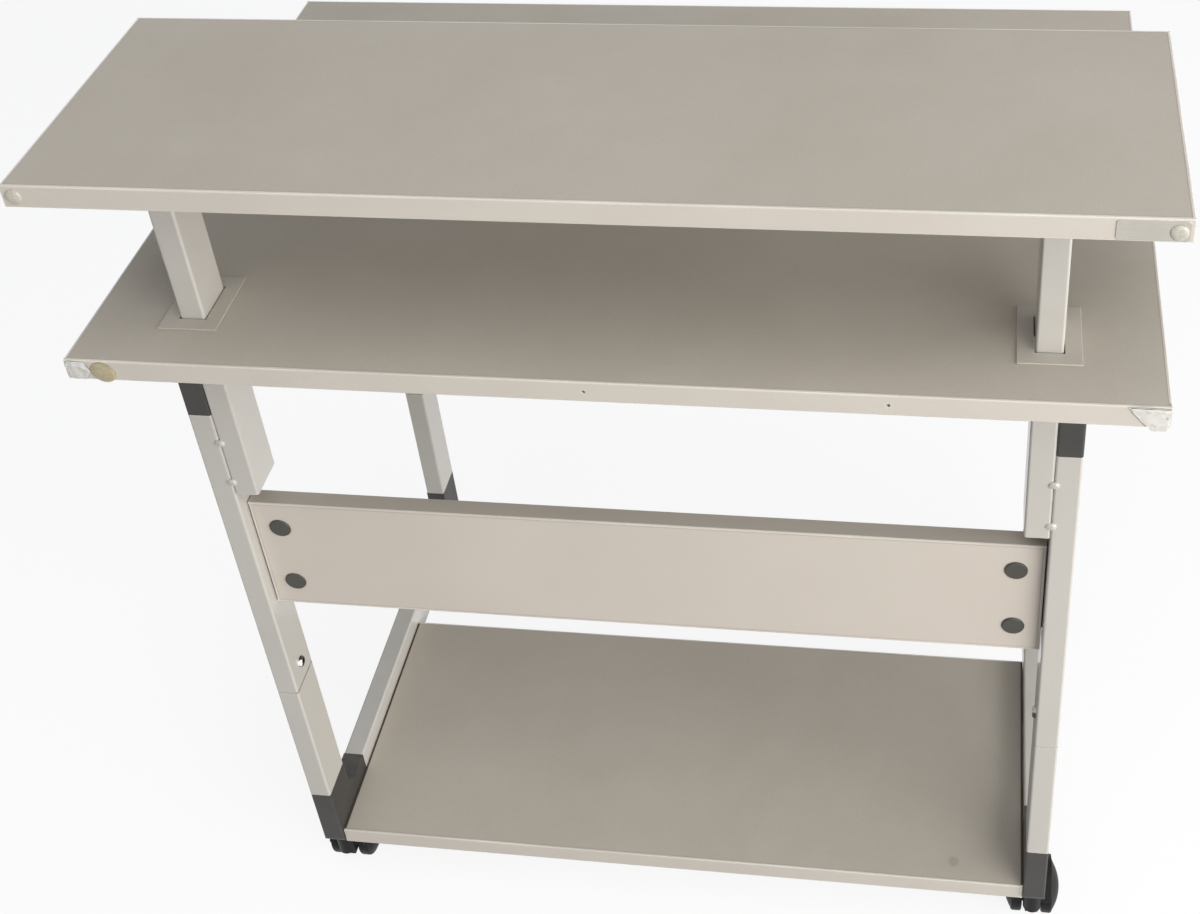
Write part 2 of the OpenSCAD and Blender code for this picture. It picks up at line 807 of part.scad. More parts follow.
wheel_wall = 2.4;
axle_half = castor_half - wheel_wall - wheel_side_gap;

module castor_axle(side, end) {
    color("silver") place_castor(side, end) translate([-axle_half, trail, axle_z])
        rotate([0, 90, 0]) cylinder(d = axle_d, h = 2 * axle_half);
}

// A wheel drawn round Z: tread, domed outer face up to z = wheel_w, hub, and ribs behind the face
module wheel_body() {
    hub_r = axle_d / 2 + 3.2;
    tread_t = 4;
    rim_r = wheel_d / 2 - tread_t;
    round_r = 2.4;
    dome_edge = wheel_d / 2 - round_r;
    // Radius of the circle that gives the dome its rise over its width
    dome_r = (dome_edge * dome_edge + wheel_dome * wheel_dome) / (2 * wheel_dome);
    // Groove round the hub cap that is moulded on the dome
    groove_r = 9;
    groove_w = 0.8;
    groove_depth = 0.7;
    groove_bottom = wheel_w - dome_r + sqrt(dome_r * dome_r - groove_r * groove_r) - groove_depth;
    rotate_extrude($fn = 96) difference() {
        union() {
            square([dome_edge, tread_w]);
            translate([0, round_r]) square([wheel_d / 2, tread_w - 2 * round_r]);
            for (z = [round_r, tread_w - round_r])
                translate([dome_edge, z]) circle(r = round_r, $fn = 32);
            intersection() {
                translate([0, wheel_w - dome_r]) circle(r = dome_r, $fn = 128);
                square([dome_edge, wheel_w]);
            }
        }
        translate([-wheel_d, -cut]) square([wheel_d, wheel_w + 2 * cut]);
        intersection() {
            translate([0, wheel_w - dome_r]) circle(r = dome_r - wheel_wall, $fn = 128);
            translate([hub_r, -cut]) square([rim_r - hub_r, wheel_w]);
        }
        translate([groove_r, groove_bottom]) square([groove_w, wheel_w]);
        translate([-cut, -cut]) square([cut + axle_d / 2 + turn_gap, wheel_w - wheel_wall + cut]);
    }
    rib_t = 1.6;
    rib_inset = 1.5;
    // The ribs run into the hub and the rim by this much
    rib_bite = 0.5;
    for (a = [0 : 60 : 300]) rotate(a) translate([hub_r - rib_bite, -rib_t / 2, rib_inset])
        cube([rim_r - hub_r + 2 * rib_bite, rib_t, tread_w - 2 * rib_inset]);
}

module castor_wheel(side, end, face) {
    color([0.10, 0.10, 0.10]) place_castor(side, end) on_side(face)
        translate([wheel_in, trail, axle_z]) rotate([0, 90, 0]) wheel_body();
}

// Foot lever: two cheeks and their pin on the housing's tail, a pedal, and a stub over each tread
module brake_lever(side) {
    cheek_in = tail_half + swivel_gap;
    cheek_out = wheel_in - 1;
    cheek_wall = 2;
    stub_r = 1.5;
    // Locked, a stub stands this far off the tread
    stub_gap = 0.3;
    stub_arm = brake_reach - wheel_d / 2 - stub_r - stub_gap;
    stub_dir = 180 + brake_angle + brake_turn;
    pedal_dir = 8;
    pedal_half = wheel_in + 6;
    // The pedal starts this far behind the pin
    pedal_start = lug_r + 1.5;
    color([0.16, 0.16, 0.16]) place_castor(side, 1) translate([0, brake_y(), brake_z()]) {
        for (face = [-1, 1]) on_side(face) {
            translate([(cheek_in + cheek_out) / 2, 0, 0]) side_extrude(cheek_out - cheek_in) {
                circle(r = brake_pin_d / 2 + cheek_wall);
                rotate(stub_dir) translate([0, -stub_r]) square([stub_arm, 2 * stub_r]);
                rotate(pedal_dir) translate([0, -pedal_t / 2]) square([pedal_l, pedal_t]);
            }
            translate([cheek_in, 0, 0]) rotate([stub_dir, 0, 0]) translate([0, stub_arm, 0])
                rotate([0, 90, 0]) cylinder(r = stub_r, h = pedal_half - cheek_in);
        }
        translate([-cheek_out, 0, 0]) rotate([0, 90, 0]) cylinder(d = brake_pin_d, h = 2 * cheek_out);
        rotate([pedal_dir, 0, 0]) translate([-pedal_half, pedal_start, -pedal_t / 2])
            cube([2 * pedal_half, pedal_l - pedal_start, pedal_t]);
    }
}

base_tube(-1);  // base_tube_left
base_tube(1);  // base_tube_right
base_corner(-1, 0);  // base_corner_front_left
base_corner(1, 0);  // base_corner_front_right
base_corner(-1, 1);  // base_corner_rear_left
base_corner(1, 1);  // base_corner_rear_right
lower_leg(-1, 0);  // lower_leg_front_left
lower_leg(1, 0);  // lower_leg_front_right
lower_leg(-1, 1);  // lower_leg_rear_left
lower_leg(1, 1);  // lower_leg_rear_right
leg_inserts();
bottom_shelf();
bottom_shelf_edging();
bottom_shelf_screws();
castor_stems();
upper_leg(-1, 0);  // upper_leg_front_left
upper_leg(1, 0);  // upper_leg_front_right
upper_leg(-1, 1);  // upper_leg_rear_left
upper_leg(1, 1);  // upper_leg_rear_right
top_corner(-1, 0);  // top_corner_front_left
top_corner(1, 0);  // top_corner_front_right
top_corner(-1, 1);  // top_corner_rear_left
top_corner(1, 1);  // top_corner_rear_right
top_tube(-1);  // top_tube_left
top_tube(1);  // top_tube_right
post(-1);  // post_left
post(1);  // post_right
worktop();
worktop_edging();
post_trims();
worktop_screws();
raised_shelf();
raised_shelf_edging();
raised_shelf_screws();
cross_panel();
cross_panel_edging();
panel_screws();
panel_screw_caps();
clamp_screws();
badge_plate();
gel_pads();
corner_tapes();
castor_housing(-1, 0);  // castor_front_left
castor_housing(1, 0);  // castor_front_right
castor_housing(-1, 1);  // castor_rear_left
castor_housing(1, 1);  // castor_rear_right
castor_axle(-1, 0);  // axle_front_left
castor_axle(1, 0);  // axle_front_right
castor_axle(-1, 1);  // axle_rear_left
castor_axle(1, 1);  // axle_rear_right
castor_wheel(-1, 0, -1);  // wheel_front_left_outer
castor_wheel(-1, 0, 1);  // wheel_front_left_inner
castor_wheel(1, 0, 1);  // wheel_front_right_outer
castor_wheel(1, 0, -1);  // wheel_front_right_inner
castor_wheel(-1, 1, -1);  // wheel_rear_left_outer
castor_wheel(-1, 1, 1);  // wheel_rear_left_inner
castor_wheel(1, 1, 1);  // wheel_rear_right_outer
castor_wheel(1, 1, -1);  // wheel_rear_right_inner
brake_lever(-1);  // brake_lever_left
brake_lever(1);  // brake_lever_right
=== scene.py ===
# %% [markdown]
# # A rolling computer desk
# A worktop with a raised shelf stands on two steel side frames. Dark plastic connectors join
# the tubes at each corner, a cross panel ties the front legs, a low shelf carries the machine,
# and four twin-wheel castors let the desk roll.
#
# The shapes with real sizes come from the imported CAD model. This file gives them finishes,
# rounds their edges, and adds what CAD leaves plain: weld beads, gel pads, crumpled tape.

# %% Load the model
import json
import math

import bmesh
import bpy
from mathutils import Matrix, Vector, noise


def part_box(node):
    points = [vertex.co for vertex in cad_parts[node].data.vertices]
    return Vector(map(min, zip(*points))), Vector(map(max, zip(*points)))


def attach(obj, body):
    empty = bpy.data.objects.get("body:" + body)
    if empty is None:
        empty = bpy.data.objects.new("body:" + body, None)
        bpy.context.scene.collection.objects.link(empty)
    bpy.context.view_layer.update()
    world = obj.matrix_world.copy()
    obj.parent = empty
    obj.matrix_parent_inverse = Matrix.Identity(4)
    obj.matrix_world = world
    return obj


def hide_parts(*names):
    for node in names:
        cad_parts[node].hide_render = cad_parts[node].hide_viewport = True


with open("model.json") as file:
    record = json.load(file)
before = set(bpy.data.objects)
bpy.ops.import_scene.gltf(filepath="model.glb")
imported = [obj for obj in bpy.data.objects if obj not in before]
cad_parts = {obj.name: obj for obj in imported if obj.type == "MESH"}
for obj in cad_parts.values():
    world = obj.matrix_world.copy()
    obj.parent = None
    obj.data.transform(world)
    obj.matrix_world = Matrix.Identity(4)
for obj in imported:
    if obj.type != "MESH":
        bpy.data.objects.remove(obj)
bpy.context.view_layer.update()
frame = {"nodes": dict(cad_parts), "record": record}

nodes = frame["nodes"]


# %% [markdown]
# ## Camera
# The photo looks down on the desk from the front, a little from the right. Its place and lens
# were found by matching the corners of the boards and legs with their pixels. The picture was
# cropped after it was taken, so its middle isn't the lens's middle: the camera's shift says so.

# %% Camera
photo_w, photo_h = 1200, 914
focal_px = 1732.1
lens_middle = (720.9, 278.0)
eye = Vector((0.2647, -1.1862, 1.5085))
ahead = Vector((-0.14458, 0.78824, -0.59814)).normalized()
picture_up = Vector((-0.03413, 0.60016, 0.79915))
picture_right = ahead.cross(picture_up).normalized()
picture_up = picture_right.cross(ahead)

photo_lens = bpy.data.cameras.new("photo_lens")
photo_lens.sensor_width = 36
photo_lens.lens = focal_px / photo_w * photo_lens.sensor_width
photo_lens.shift_x = (photo_w / 2 - lens_middle[0]) / photo_w
photo_lens.shift_y = (lens_middle[1] - photo_h / 2) / photo_w
photo_camera = bpy.data.objects.new("photo_camera", photo_lens)
turn = Matrix((picture_right, picture_up, -ahead)).transposed()
photo_camera.matrix_world = Matrix.Translation(eye) @ turn.to_4x4()
bpy.context.scene.collection.objects.link(photo_camera)
bpy.context.scene.camera = photo_camera
print("lens:", round(photo_lens.lens, 2), "mm, shift:",
      round(photo_lens.shift_x, 4), round(photo_lens.shift_y, 4))

# %% [markdown]
# ## Node helpers
# Every finish below is a small node tree, and a few helpers keep the trees readable. One adds
# a node. Others start, close and place a node group, which is an effect with named inputs and
# outputs that several materials share.

# %% Node helpers
def feed(tree, socket, value):
    """Links another node's output to a socket, or sets the socket to a plain value."""
    if isinstance(value, bpy.types.NodeSocket):
        tree.links.new(value, socket)
    else:
        socket.default_value = value


def add(tree, kind, sockets=None, **settings):
    """A shader node with its settings, and its sockets linked or set."""
    made = tree.nodes.new("ShaderNode" + kind)
    for key, value in settings.items():
        setattr(made, key, value)
    for key, value in (sockets or {}).items():
        feed(tree, made.inputs[key], value)
    return made


def new_effect(name, inputs, outputs):
    """A node group. inputs and outputs say which kind each named socket is."""
    group = bpy.data.node_groups.new(name, "ShaderNodeTree")
    for way, sockets in (("INPUT", inputs), ("OUTPUT", outputs)):
        for label, kind in sockets.items():
            group.interface.new_socket(label, in_out=way, socket_type="NodeSocket" + kind)
    given = group.nodes.new("NodeGroupInput").outputs
    return group, given, group.nodes.new("NodeGroupOutput").inputs


def give_back(group, result, **values):
    """Links what an effect has made to its outputs."""
    for key, value in values.items():
        group.links.new(value, result[key])
    print(group.name, "has", len(group.nodes), "nodes")


def effect(tree, group, **values):
    """Places an effect in a material. An underscore in a name stands for a space."""
    made = tree.nodes.new("ShaderNodeGroup")
    made.node_tree = group
    for key, value in values.items():
        feed(tree, made.inputs[key.replace("_", " ")], value)
    return made.outputs


def paint(red, green, blue):
    """A colour as the eye reads it, 0 to 255, turned into the light values that shaders want."""
    return tuple(math.pow((v / 255 + 0.055) / 1.055, 2.4) for v in (red, green, blue)) + (1.0,)


print("mid grey as light:", round(paint(128, 128, 128)[0], 3))

# %% [markdown]
# ## Place and direction
# A mask is a value from 0 to 1 that says where something shows. It starts from where a point
# lies, from where its surface looks, or from noise. Places are object coordinates, here the
# desk's own metres, so a pattern keeps its real scale and needs no unwrapping.

# %% Place and direction
def desk_place(tree):
    """Where the point lies, in the desk's own metres."""
    return add(tree, "TexCoord").outputs["Object"]


def true_normal(tree):
    """Where the surface looks."""
    return add(tree, "NewGeometry").outputs["Normal"]


def looks_along(tree, axis):
    """How far the surface looks along X, Y or Z, -1 to 1."""
    return add(tree, "SeparateXYZ", {0: true_normal(tree)}).outputs[axis]


def share_along(tree, vector, direction):
    """How much of a vector runs along a slanted direction."""
    dot = add(tree, "VectorMath", {0: vector, 1: direction}, operation="DOT_PRODUCT")
    return dot.outputs["Value"]

# %% [markdown]
# ## Sums on masks
# A mask is then cut to a range, thinned by another mask, and used to lay one colour over
# another. Each of these steps is one node.

# %% Sums on masks
def reckon(tree, step, *values, clamp=False):
    """One step of arithmetic."""
    return add(tree, "Math", dict(enumerate(values)), operation=step, use_clamp=clamp).outputs[0]


def times(tree, first, second, clamp=False):
    """Two values multiplied, so that one mask thins another."""
    return reckon(tree, "MULTIPLY", first, second, clamp=clamp)


def ramp(tree, value, start=0.0, end=1.0, low=0.0, high=1.0):
    """A value that runs from start to end, turned into one that runs from low to high."""
    return add(tree, "MapRange", {"Value": value, "From Min": start, "From Max": end,
                                  "To Min": low, "To Max": high}).outputs[0]


def blend_in(tree, mask, colour, over):
    """One colour over another where a mask says so."""
    return add(tree, "Mix", {0: mask, 6: colour, 7: over}, data_type="RGBA").outputs[2]

# %% [markdown]
# ## Noise
# Noise breaks up whatever would look drawn. Its scale counts blotches to the metre, while a
# maker thinks in the size of one blotch, so a helper turns one into the other.

# %% Noise
def per_metre(tree, size):
    """How many blotches of a size fit in a metre, which is how noise counts its scale."""
    return reckon(tree, "DIVIDE", 1.0, size)


def blotches(tree, scale, detail, rough=0.5):
    """Noise over the desk."""
    return add(tree, "TexNoise", {"Vector": desk_place(tree), "Scale": scale, "Detail": detail,
                                  "Roughness": rough}).outputs["Fac"]


def streaks(tree, lines, detail):
    """Noise squeezed into lines, so many to the metre on each axis."""
    squeezed = add(tree, "Mapping", {"Vector": desk_place(tree), "Scale": lines}).outputs[0]
    noisy = add(tree, "TexNoise", {"Vector": squeezed, "Scale": 1.0, "Detail": detail})
    return noisy.outputs["Fac"]

# %% [markdown]
# ## Effect: mottle
# No factory colour is even. A slow noise shifts the tone over a hand's width, as light and
# handling do, and a fine one adds the speckle that a printed laminate or a powder coat has.

# %% Mottle
mottle, given, result = new_effect(
    "mottle",
    {"Colour": "Color", "Second": "Color",
     "Patch size": "Float", "Speck size": "Float", "Specks": "Float"},
    {"Colour": "Color", "Mask": "Float"})
patches = blotches(mottle, per_metre(mottle, given["Patch size"]), detail=3.0)
specks = blotches(mottle, per_metre(mottle, given["Speck size"]), detail=2.0)
patch_mask = ramp(mottle, patches, start=0.3, end=0.7)
speck_mask = ramp(mottle, specks, start=0.42, end=0.62)
both = add(mottle, "Mix", {0: given["Specks"], 2: patch_mask, 3: speck_mask}).outputs[0]
two_tone = blend_in(mottle, both, given["Colour"], given["Second"])
give_back(mottle, result, Colour=two_tone, Mask=both)

# %% [markdown]
# ## Effect: worn or highlit edges
# Corners and edges lose their finish first, and on some finishes the same mask also paints the
# highlight that a rounded edge catches. A Bevel node gives the normal that a slightly rounder
# surface would have; where it leaves the true normal, there is an edge. Noise breaks the line
# up, because wear is never even.

# %% Worn or highlit edges
def edge_line(tree, width, flat, sharp):
    """A mask along edges. flat and sharp say how alike the two normals are off and on one."""
    rounder = add(tree, "Bevel", {"Radius": width}, samples=4).outputs[0]
    return ramp(tree, share_along(tree, rounder, true_normal(tree)), start=flat, end=sharp)


edge_wear_or_highlight, given, result = new_effect(
    "edge_wear_or_highlight", {"Width": "Float", "Amount": "Float", "Break up": "Float"}, {"Mask": "Float"})
near_edge = edge_line(edge_wear_or_highlight, given["Width"], flat=0.995, sharp=0.86)
broken = blotches(edge_wear_or_highlight, per_metre(edge_wear_or_highlight, given["Break up"]), detail=4.0)
edge_wear_or_light = times(edge_wear_or_highlight, near_edge, ramp(edge_wear_or_highlight, broken, start=0.35, end=0.65))
give_back(edge_wear_or_highlight, result, Mask=times(edge_wear_or_highlight, edge_wear_or_light, given["Amount"], clamp=True))

# %% [markdown]
# ## Effect: joint line
# Where a board's face meets its plastic edging there is a hair-thin glue line that has taken
# up dirt. It follows the outline of the laminate, so the same trick that finds edges finds it,
# but it's dark and unbroken.

# %% Joint line
joint_line, given, result = new_effect(
    "joint_line", {"Width": "Float", "Amount": "Float"}, {"Mask": "Float"})
line = edge_line(joint_line, given["Width"], flat=0.985, sharp=0.8)
give_back(joint_line, result, Mask=times(joint_line, line, given["Amount"], clamp=True))

# %% [markdown]
# ## Effect: settled dust
# Dust lies on faces that look up and thins out on the sides. The normal's height gives the
# first, noise makes it patchy.

# %% Settled dust
settled_dust, given, result = new_effect(
    "settled_dust", {"Amount": "Float", "Patch size": "Float"}, {"Mask": "Float"})
looks_up = ramp(settled_dust, looks_along(settled_dust, "Z"), start=-0.2, end=1.0)
patch_scale = per_metre(settled_dust, given["Patch size"])
patchy = blotches(settled_dust, patch_scale, detail=6.0, rough=0.65)
lying = times(settled_dust, looks_up, ramp(settled_dust, patchy, start=0.38, end=0.68))
give_back(settled_dust, result, Mask=times(settled_dust, lying, given["Amount"], clamp=True))

# %% [markdown]
# ## Effect: fine relief
# A powder coat dries like orange peel and moulded plastic has a spark-eroded grain. Both are
# a fine height that a Bump node turns into light and shade. A coarser height is mixed in, since
# one size of grain alone looks printed.

# %% Fine relief
fine_relief, given, result = new_effect(
    "fine_relief", {"Grain size": "Float", "Coarse share": "Float"}, {"Height": "Float"})
coarse_to_fine = 0.35
grain_scale = per_metre(fine_relief, given["Grain size"])
fine = blotches(fine_relief, grain_scale, detail=1.0)
coarse = blotches(fine_relief, times(fine_relief, grain_scale, coarse_to_fine), detail=1.0)
height = add(fine_relief, "Mix", {0: given["Coarse share"], 2: fine, 3: coarse}).outputs[0]
give_back(fine_relief, result, Height=height)

# %% [markdown]
# ## Effect: a mark
# A stain, a rub, or a patch of painted light or shade sits at one place on the desk. The mark
# is the distance from that place in the desk's own metres, stretched by a size on each axis and
# roughened with noise.

# %% A mark
a_mark, given, result = new_effect(
    "a_mark", {"Place": "Vector", "Size": "Vector", "Raggedness": "Float"}, {"Mask": "Float"})
place = desk_place(a_mark)
away = add(a_mark, "VectorMath", {0: place, 1: given["Place"]}, operation="SUBTRACT").outputs[0]
away = add(a_mark, "VectorMath", {0: away, 1: given["Size"]}, operation="DIVIDE").outputs[0]
distance = add(a_mark, "VectorMath", {0: away}, operation="LENGTH").outputs["Value"]
ragged = add(a_mark, "TexNoise", {"Vector": away, "Scale": 1.6, "Detail": 5.0}).outputs["Fac"]
ragged = times(a_mark, reckon(a_mark, "SUBTRACT", ragged, 0.5), given["Raggedness"])
distance = reckon(a_mark, "ADD", distance, ragged)
give_back(a_mark, result, Mask=ramp(a_mark, distance, start=1.0, end=0.55))

# %% [markdown]
# ## Starting a finish
# Each finish is one material with its own Principled shader. A number that is the same all over
# is set on the shader itself; what changes over the surface comes from the effects.

# %% Starting a finish
finishes = {}


def new_finish(slot_name, **plain):
    """A material for one slot of the record, with its plain values set on the shader."""
    material = bpy.data.materials.new(slot_name)
    material.use_nodes = True
    tree = material.node_tree
    tree.nodes.clear()
    shader = add(tree, "BsdfPrincipled")
    for key, value in plain.items():
        shader.inputs[key.replace("_", " ")].default_value = value
    tree.links.new(shader.outputs[0], tree.nodes.new("ShaderNodeOutputMaterial").inputs[0])
    finishes[slot_name] = material
    return tree, shader.inputs

# %% [markdown]
# ## Layers of a finish
# The effects are laid over one another as on a real surface: first its own tones, then wear,
# marks and dirt, and on some finishes painted highlights and painted shade. Each layer takes the
# colour below it and gives back the colour on top.

# %% Layers of a finish
def tones(tree, main, second, patch, speck, specks):
    """The finish's own two tones, mottled. specks is the share of the fine speckle."""
    return effect(tree, mottle, Colour=paint(*main), Second=paint(*second),
                  Patch_size=patch, Speck_size=speck, Specks=specks)


def rubbed_or_highlit(tree, colour, edge_tone, width, amount, patch):
    """Edges worn, or lit as a painted highlight, to another colour."""
    edge_wear_or_light = effect(tree, edge_wear_or_highlight, Width=width, Amount=amount, Break_up=patch)
    return blend_in(tree, edge_wear_or_light["Mask"], colour, paint(*edge_tone))


def lined(tree, colour, dirt, width, amount):
    """A dark line where two pieces meet."""
    line = effect(tree, joint_line, Width=width, Amount=amount)
    return blend_in(tree, line["Mask"], colour, paint(*dirt))


def dusted(tree, colour, dust_tone, amount, patch):
    """Dust on what looks up."""
    dust = effect(tree, settled_dust, Amount=amount, Patch_size=patch)
    return blend_in(tree, dust["Mask"], colour, paint(*dust_tone))


def near(tree, place, size, ragged):
    """A mask round one place."""
    return effect(tree, a_mark, Place=place, Size=size, Raggedness=ragged)["Mask"]


def marked(tree, colour, mark_tone, place, size, ragged, strength):
    """One mark at one place."""
    mark = times(tree, near(tree, place, size, ragged), strength)
    return blend_in(tree, mark, colour, paint(*mark_tone))

# %% [markdown]
# ## Closing a finish
# The last step feeds the shader. Roughness runs with the mottle's mask between a glossier and a
# duller value, so that highlights break up as they do on a real surface. The grain goes in as
# a Bump, which costs no triangles.

# %% Closing a finish
def bump(tree, shader, height, strength, depth):
    """Feeds a height into the shader as fine relief, depth in metres."""
    made = add(tree, "Bump", {"Height": height, "Strength": strength, "Distance": depth})
    tree.links.new(made.outputs[0], shader["Normal"])


def grained(tree, shader, size, coarse, strength, depth):
    """A fine grain of this size in metres, with a share of coarse grain."""
    relief = effect(tree, fine_relief, Grain_size=size, Coarse_share=coarse)
    bump(tree, shader, relief["Height"], strength, depth)


def surface(tree, shader, colour, mask, glossy, matt):
    """Feeds the colour, and a roughness that runs from glossy to matt with a mask."""
    tree.links.new(colour, shader["Base Color"])
    tree.links.new(ramp(tree, mask, low=glossy, high=matt), shader["Roughness"])
    print(list(finishes)[-1], "is fed by", len(tree.nodes) - 2, "nodes")

# %% [markdown]
# ## Finish: board laminate
# The worktop and both shelves wear a taupe melamine film: matt, with a fine pearl grain. One
# flat colour would look like card, so two near tones are mottled together. The low shelf has
# one small grey spot, and a little dust lies on all three boards.

# %% Board laminate
tree, shader = new_finish("board_laminate", Metallic=0.0, Specular_IOR_Level=0.42)
base = tones(tree, (188, 180, 168), (179, 170, 157), patch=0.16, speck=0.0011, specks=0.45)
grey_spot = (0.2643, -0.2006, 0.081)
colour = marked(tree, base["Colour"], (155, 147, 135), grey_spot, size=(0.006, 0.007, 0.006),
                ragged=0.3, strength=0.6)
colour = dusted(tree, colour, (208, 202, 192), amount=0.10, patch=0.05)
print("grey spot at", grey_spot)

# %% [markdown]
# ## Dark ends of the low shelf
# The low shelf's two ends have no edging, and the shadow of the gap beside the frame is painted on
# them.
# All boards share one finish, so a mask picks the place: low down, and only on the last two
# millimetres of the shelf. The glue line and the grain then close the finish.

# %% Dark ends of the low shelf
shelf_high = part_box("bottom_shelf")[1]
place = add(tree, "SeparateXYZ", {0: desk_place(tree)}).outputs
off_middle = reckon(tree, "ABSOLUTE", place["X"])
at_end = ramp(tree, off_middle, start=shelf_high.x - 0.0022, end=shelf_high.x - 0.0017)
low_down = ramp(tree, place["Z"], start=shelf_high.z + 0.019, end=shelf_high.z + 0.009)
# Painted shadow: the dark gap beside the frame, laid on the shelf's last two millimetres.
end_gap_shade = times(tree, times(tree, at_end, low_down), 0.94)
colour = blend_in(tree, end_gap_shade, colour, paint(34, 32, 27))
colour = lined(tree, colour, (124, 114, 101), width=0.0022, amount=0.6)
surface(tree, shader, colour, base["Mask"], glossy=0.46, matt=0.58)
grained(tree, shader, size=0.0007, coarse=0.3, strength=0.25, depth=0.00012)

# %% [markdown]
# ## Finish: panel laminate
# The cross panel is warm off-white. It has gathered more dust than the worktop, and the glue
# line round it is dark enough to see from afar. The effects are the worktop's, placed once more
# with other values, so the two look like boards from one workshop.

# %% Panel laminate
tree, shader = new_finish("panel_laminate", Metallic=0.0)
base = tones(tree, (211, 202, 192), (205, 195, 185), patch=0.14, speck=0.001, specks=0.35)
colour = dusted(tree, base["Colour"], (184, 176, 166), amount=0.2, patch=0.04)
colour = lined(tree, colour, (150, 138, 124), width=0.0028, amount=0.8)
surface(tree, shader, colour, base["Mask"], glossy=0.42, matt=0.52)
grained(tree, shader, size=0.0008, coarse=0.3, strength=0.22, depth=0.0001)

# %% [markdown]
# ## Finish: edging plastic
# The strips round every board are thin plastic that the edge bander glued on and scraped. Their
# corners are paler, partly from wear and partly as a painted highlight along the rounded edge.
# The worktop's right corner has a brown spot, and the low shelf's right end has a painted
# highlight.

# %% Edging plastic
tree, shader = new_finish("edging_plastic", Metallic=0.0, Coat_Weight=0.12, Coat_Roughness=0.3)
base = tones(tree, (208, 201, 191), (202, 194, 184), patch=0.09, speck=0.002, specks=0.2)
# Pale edges: partly wear, partly a painted highlight.
colour = rubbed_or_highlit(tree, base["Colour"], (250, 246, 238), width=0.0019, amount=1.0, patch=0.12)
colour = marked(tree, colour, (120, 88, 64), (0.3982, -0.2752, 0.7229),
                size=(0.0019, 0.0019, 0.0019), ragged=0.6, strength=0.55)
# Painted highlight on the right end of the low shelf's edging.
colour = marked(tree, colour, (238, 234, 225), (0.3282, -0.2218, 0.072),
                size=(0.0022, 0.006, 0.02), ragged=0.2, strength=0.8)

# %% [markdown]
# ## Painted shadow along the tape
# A shadow line is painted on the edging along the slanted side of the right bit of tape. The
# line is where two masks meet: everything past the slant, and a soft patch round the tape.

# %% Painted shadow along the tape
tape_slant = (0.763, 0.0, 0.647)
past_slant = ramp(tree, share_along(tree, desk_place(tree), tape_slant), start=0.7485, end=0.7493)
near_tape = near(tree, (0.380, -0.281, 0.7115), size=(0.017, 0.01, 0.0145), ragged=0.1)
# Painted shadow of the tape on the edging.
tape_shadow_line = times(tree, times(tree, past_slant, near_tape), 0.7)
colour = blend_in(tree, tape_shadow_line, colour, paint(104, 98, 88))
print("tape slant:", tape_slant)

# %% [markdown]
# ## Painted shade on the cross panel's ledge
# The cross panel's upper edge lies in the worktop's shade, and that shade is painted on it. Its
# height picks it out of all the edging, and the normal keeps the painted shade off its front.
# Along every strip run the fine lines that the bander's scraper left: noise squeezed hard on Z.

# %% Painted shade on the panel's ledge
ledge_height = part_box("cross_panel_edging")[1].z
height = add(tree, "SeparateXYZ", {0: desk_place(tree)}).outputs["Z"]
above = ramp(tree, height, start=ledge_height - 0.0025, end=ledge_height - 0.0005)
below = ramp(tree, height, start=ledge_height + 0.011, end=ledge_height + 0.001)
# Painted shade on the ledge under the worktop.
ledge_shade = times(tree, times(tree, above, below), looks_along(tree, "Z"), clamp=True)
colour = blend_in(tree, times(tree, ledge_shade, 0.34), colour, paint(156, 148, 136))
surface(tree, shader, colour, base["Mask"], glossy=0.34, matt=0.44)
bump(tree, shader, streaks(tree, (3.0, 3.0, 1500.0), detail=2.0), strength=0.2, depth=0.00008)

# %% [markdown]
# ## Finish: powder-coated steel
# The frame is coated in one warm light grey. The coat has an orange-peel skin and a soft
# gloss. The tubes' corners are lighter, partly from rubbing and partly as a painted highlight.
# Grime has gathered on the sides of the legs along the cut where the upper ones meet the lower
# ones: a mark as wide as the desk and as thin as the cut, kept to the faces that look sideways.

# %% Powder-coated steel
tree, shader = new_finish("frame_steel", Metallic=0.0, Coat_Weight=0.6, Coat_Roughness=0.14)
base = tones(tree, (197, 193, 186), (191, 187, 180), patch=0.11, speck=0.0015, specks=0.25)
# Pale corners: partly wear, partly a painted highlight.
colour = rubbed_or_highlit(tree, base["Colour"], (238, 235, 227), width=0.0018, amount=0.85, patch=0.12)
cut_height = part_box("upper_leg_front_left")[0].z + 0.0003
cut = near(tree, (0.0, 0.0, cut_height), size=(9.0, 9.0, 0.0017), ragged=0.2)
sideways = reckon(tree, "ABSOLUTE", looks_along(tree, "X"))
grime = times(tree, times(tree, cut, sideways), 0.7)
colour = blend_in(tree, grime, colour, paint(112, 106, 97))
colour = dusted(tree, colour, (176, 169, 158), amount=0.25, patch=0.03)
surface(tree, shader, colour, base["Mask"], glossy=0.3, matt=0.42)
grained(tree, shader, size=0.0013, coarse=0.5, strength=0.3, depth=0.00018)

# %% [markdown]
# ## Finish: connector plastic
# The corner connectors are a matt dark grey moulding with a fine grain. Their edges are scuffed
# paler, and dust lies on the arms. Dark plastic shows its shape by its sheen more than by its
# colour, so its grain is stronger than that of the boards.

# %% Connector plastic
tree, shader = new_finish("connector_plastic", Metallic=0.0)
base = tones(tree, (59, 57, 54), (52, 50, 48), patch=0.05, speck=0.0009, specks=0.35)
colour = rubbed_or_highlit(tree, base["Colour"], (104, 103, 100), width=0.0012, amount=0.5, patch=0.02)
colour = dusted(tree, colour, (120, 116, 108), amount=0.2, patch=0.02)
surface(tree, shader, colour, base["Mask"], glossy=0.48, matt=0.6)
grained(tree, shader, size=0.0008, coarse=0.4, strength=0.35, depth=0.00015)

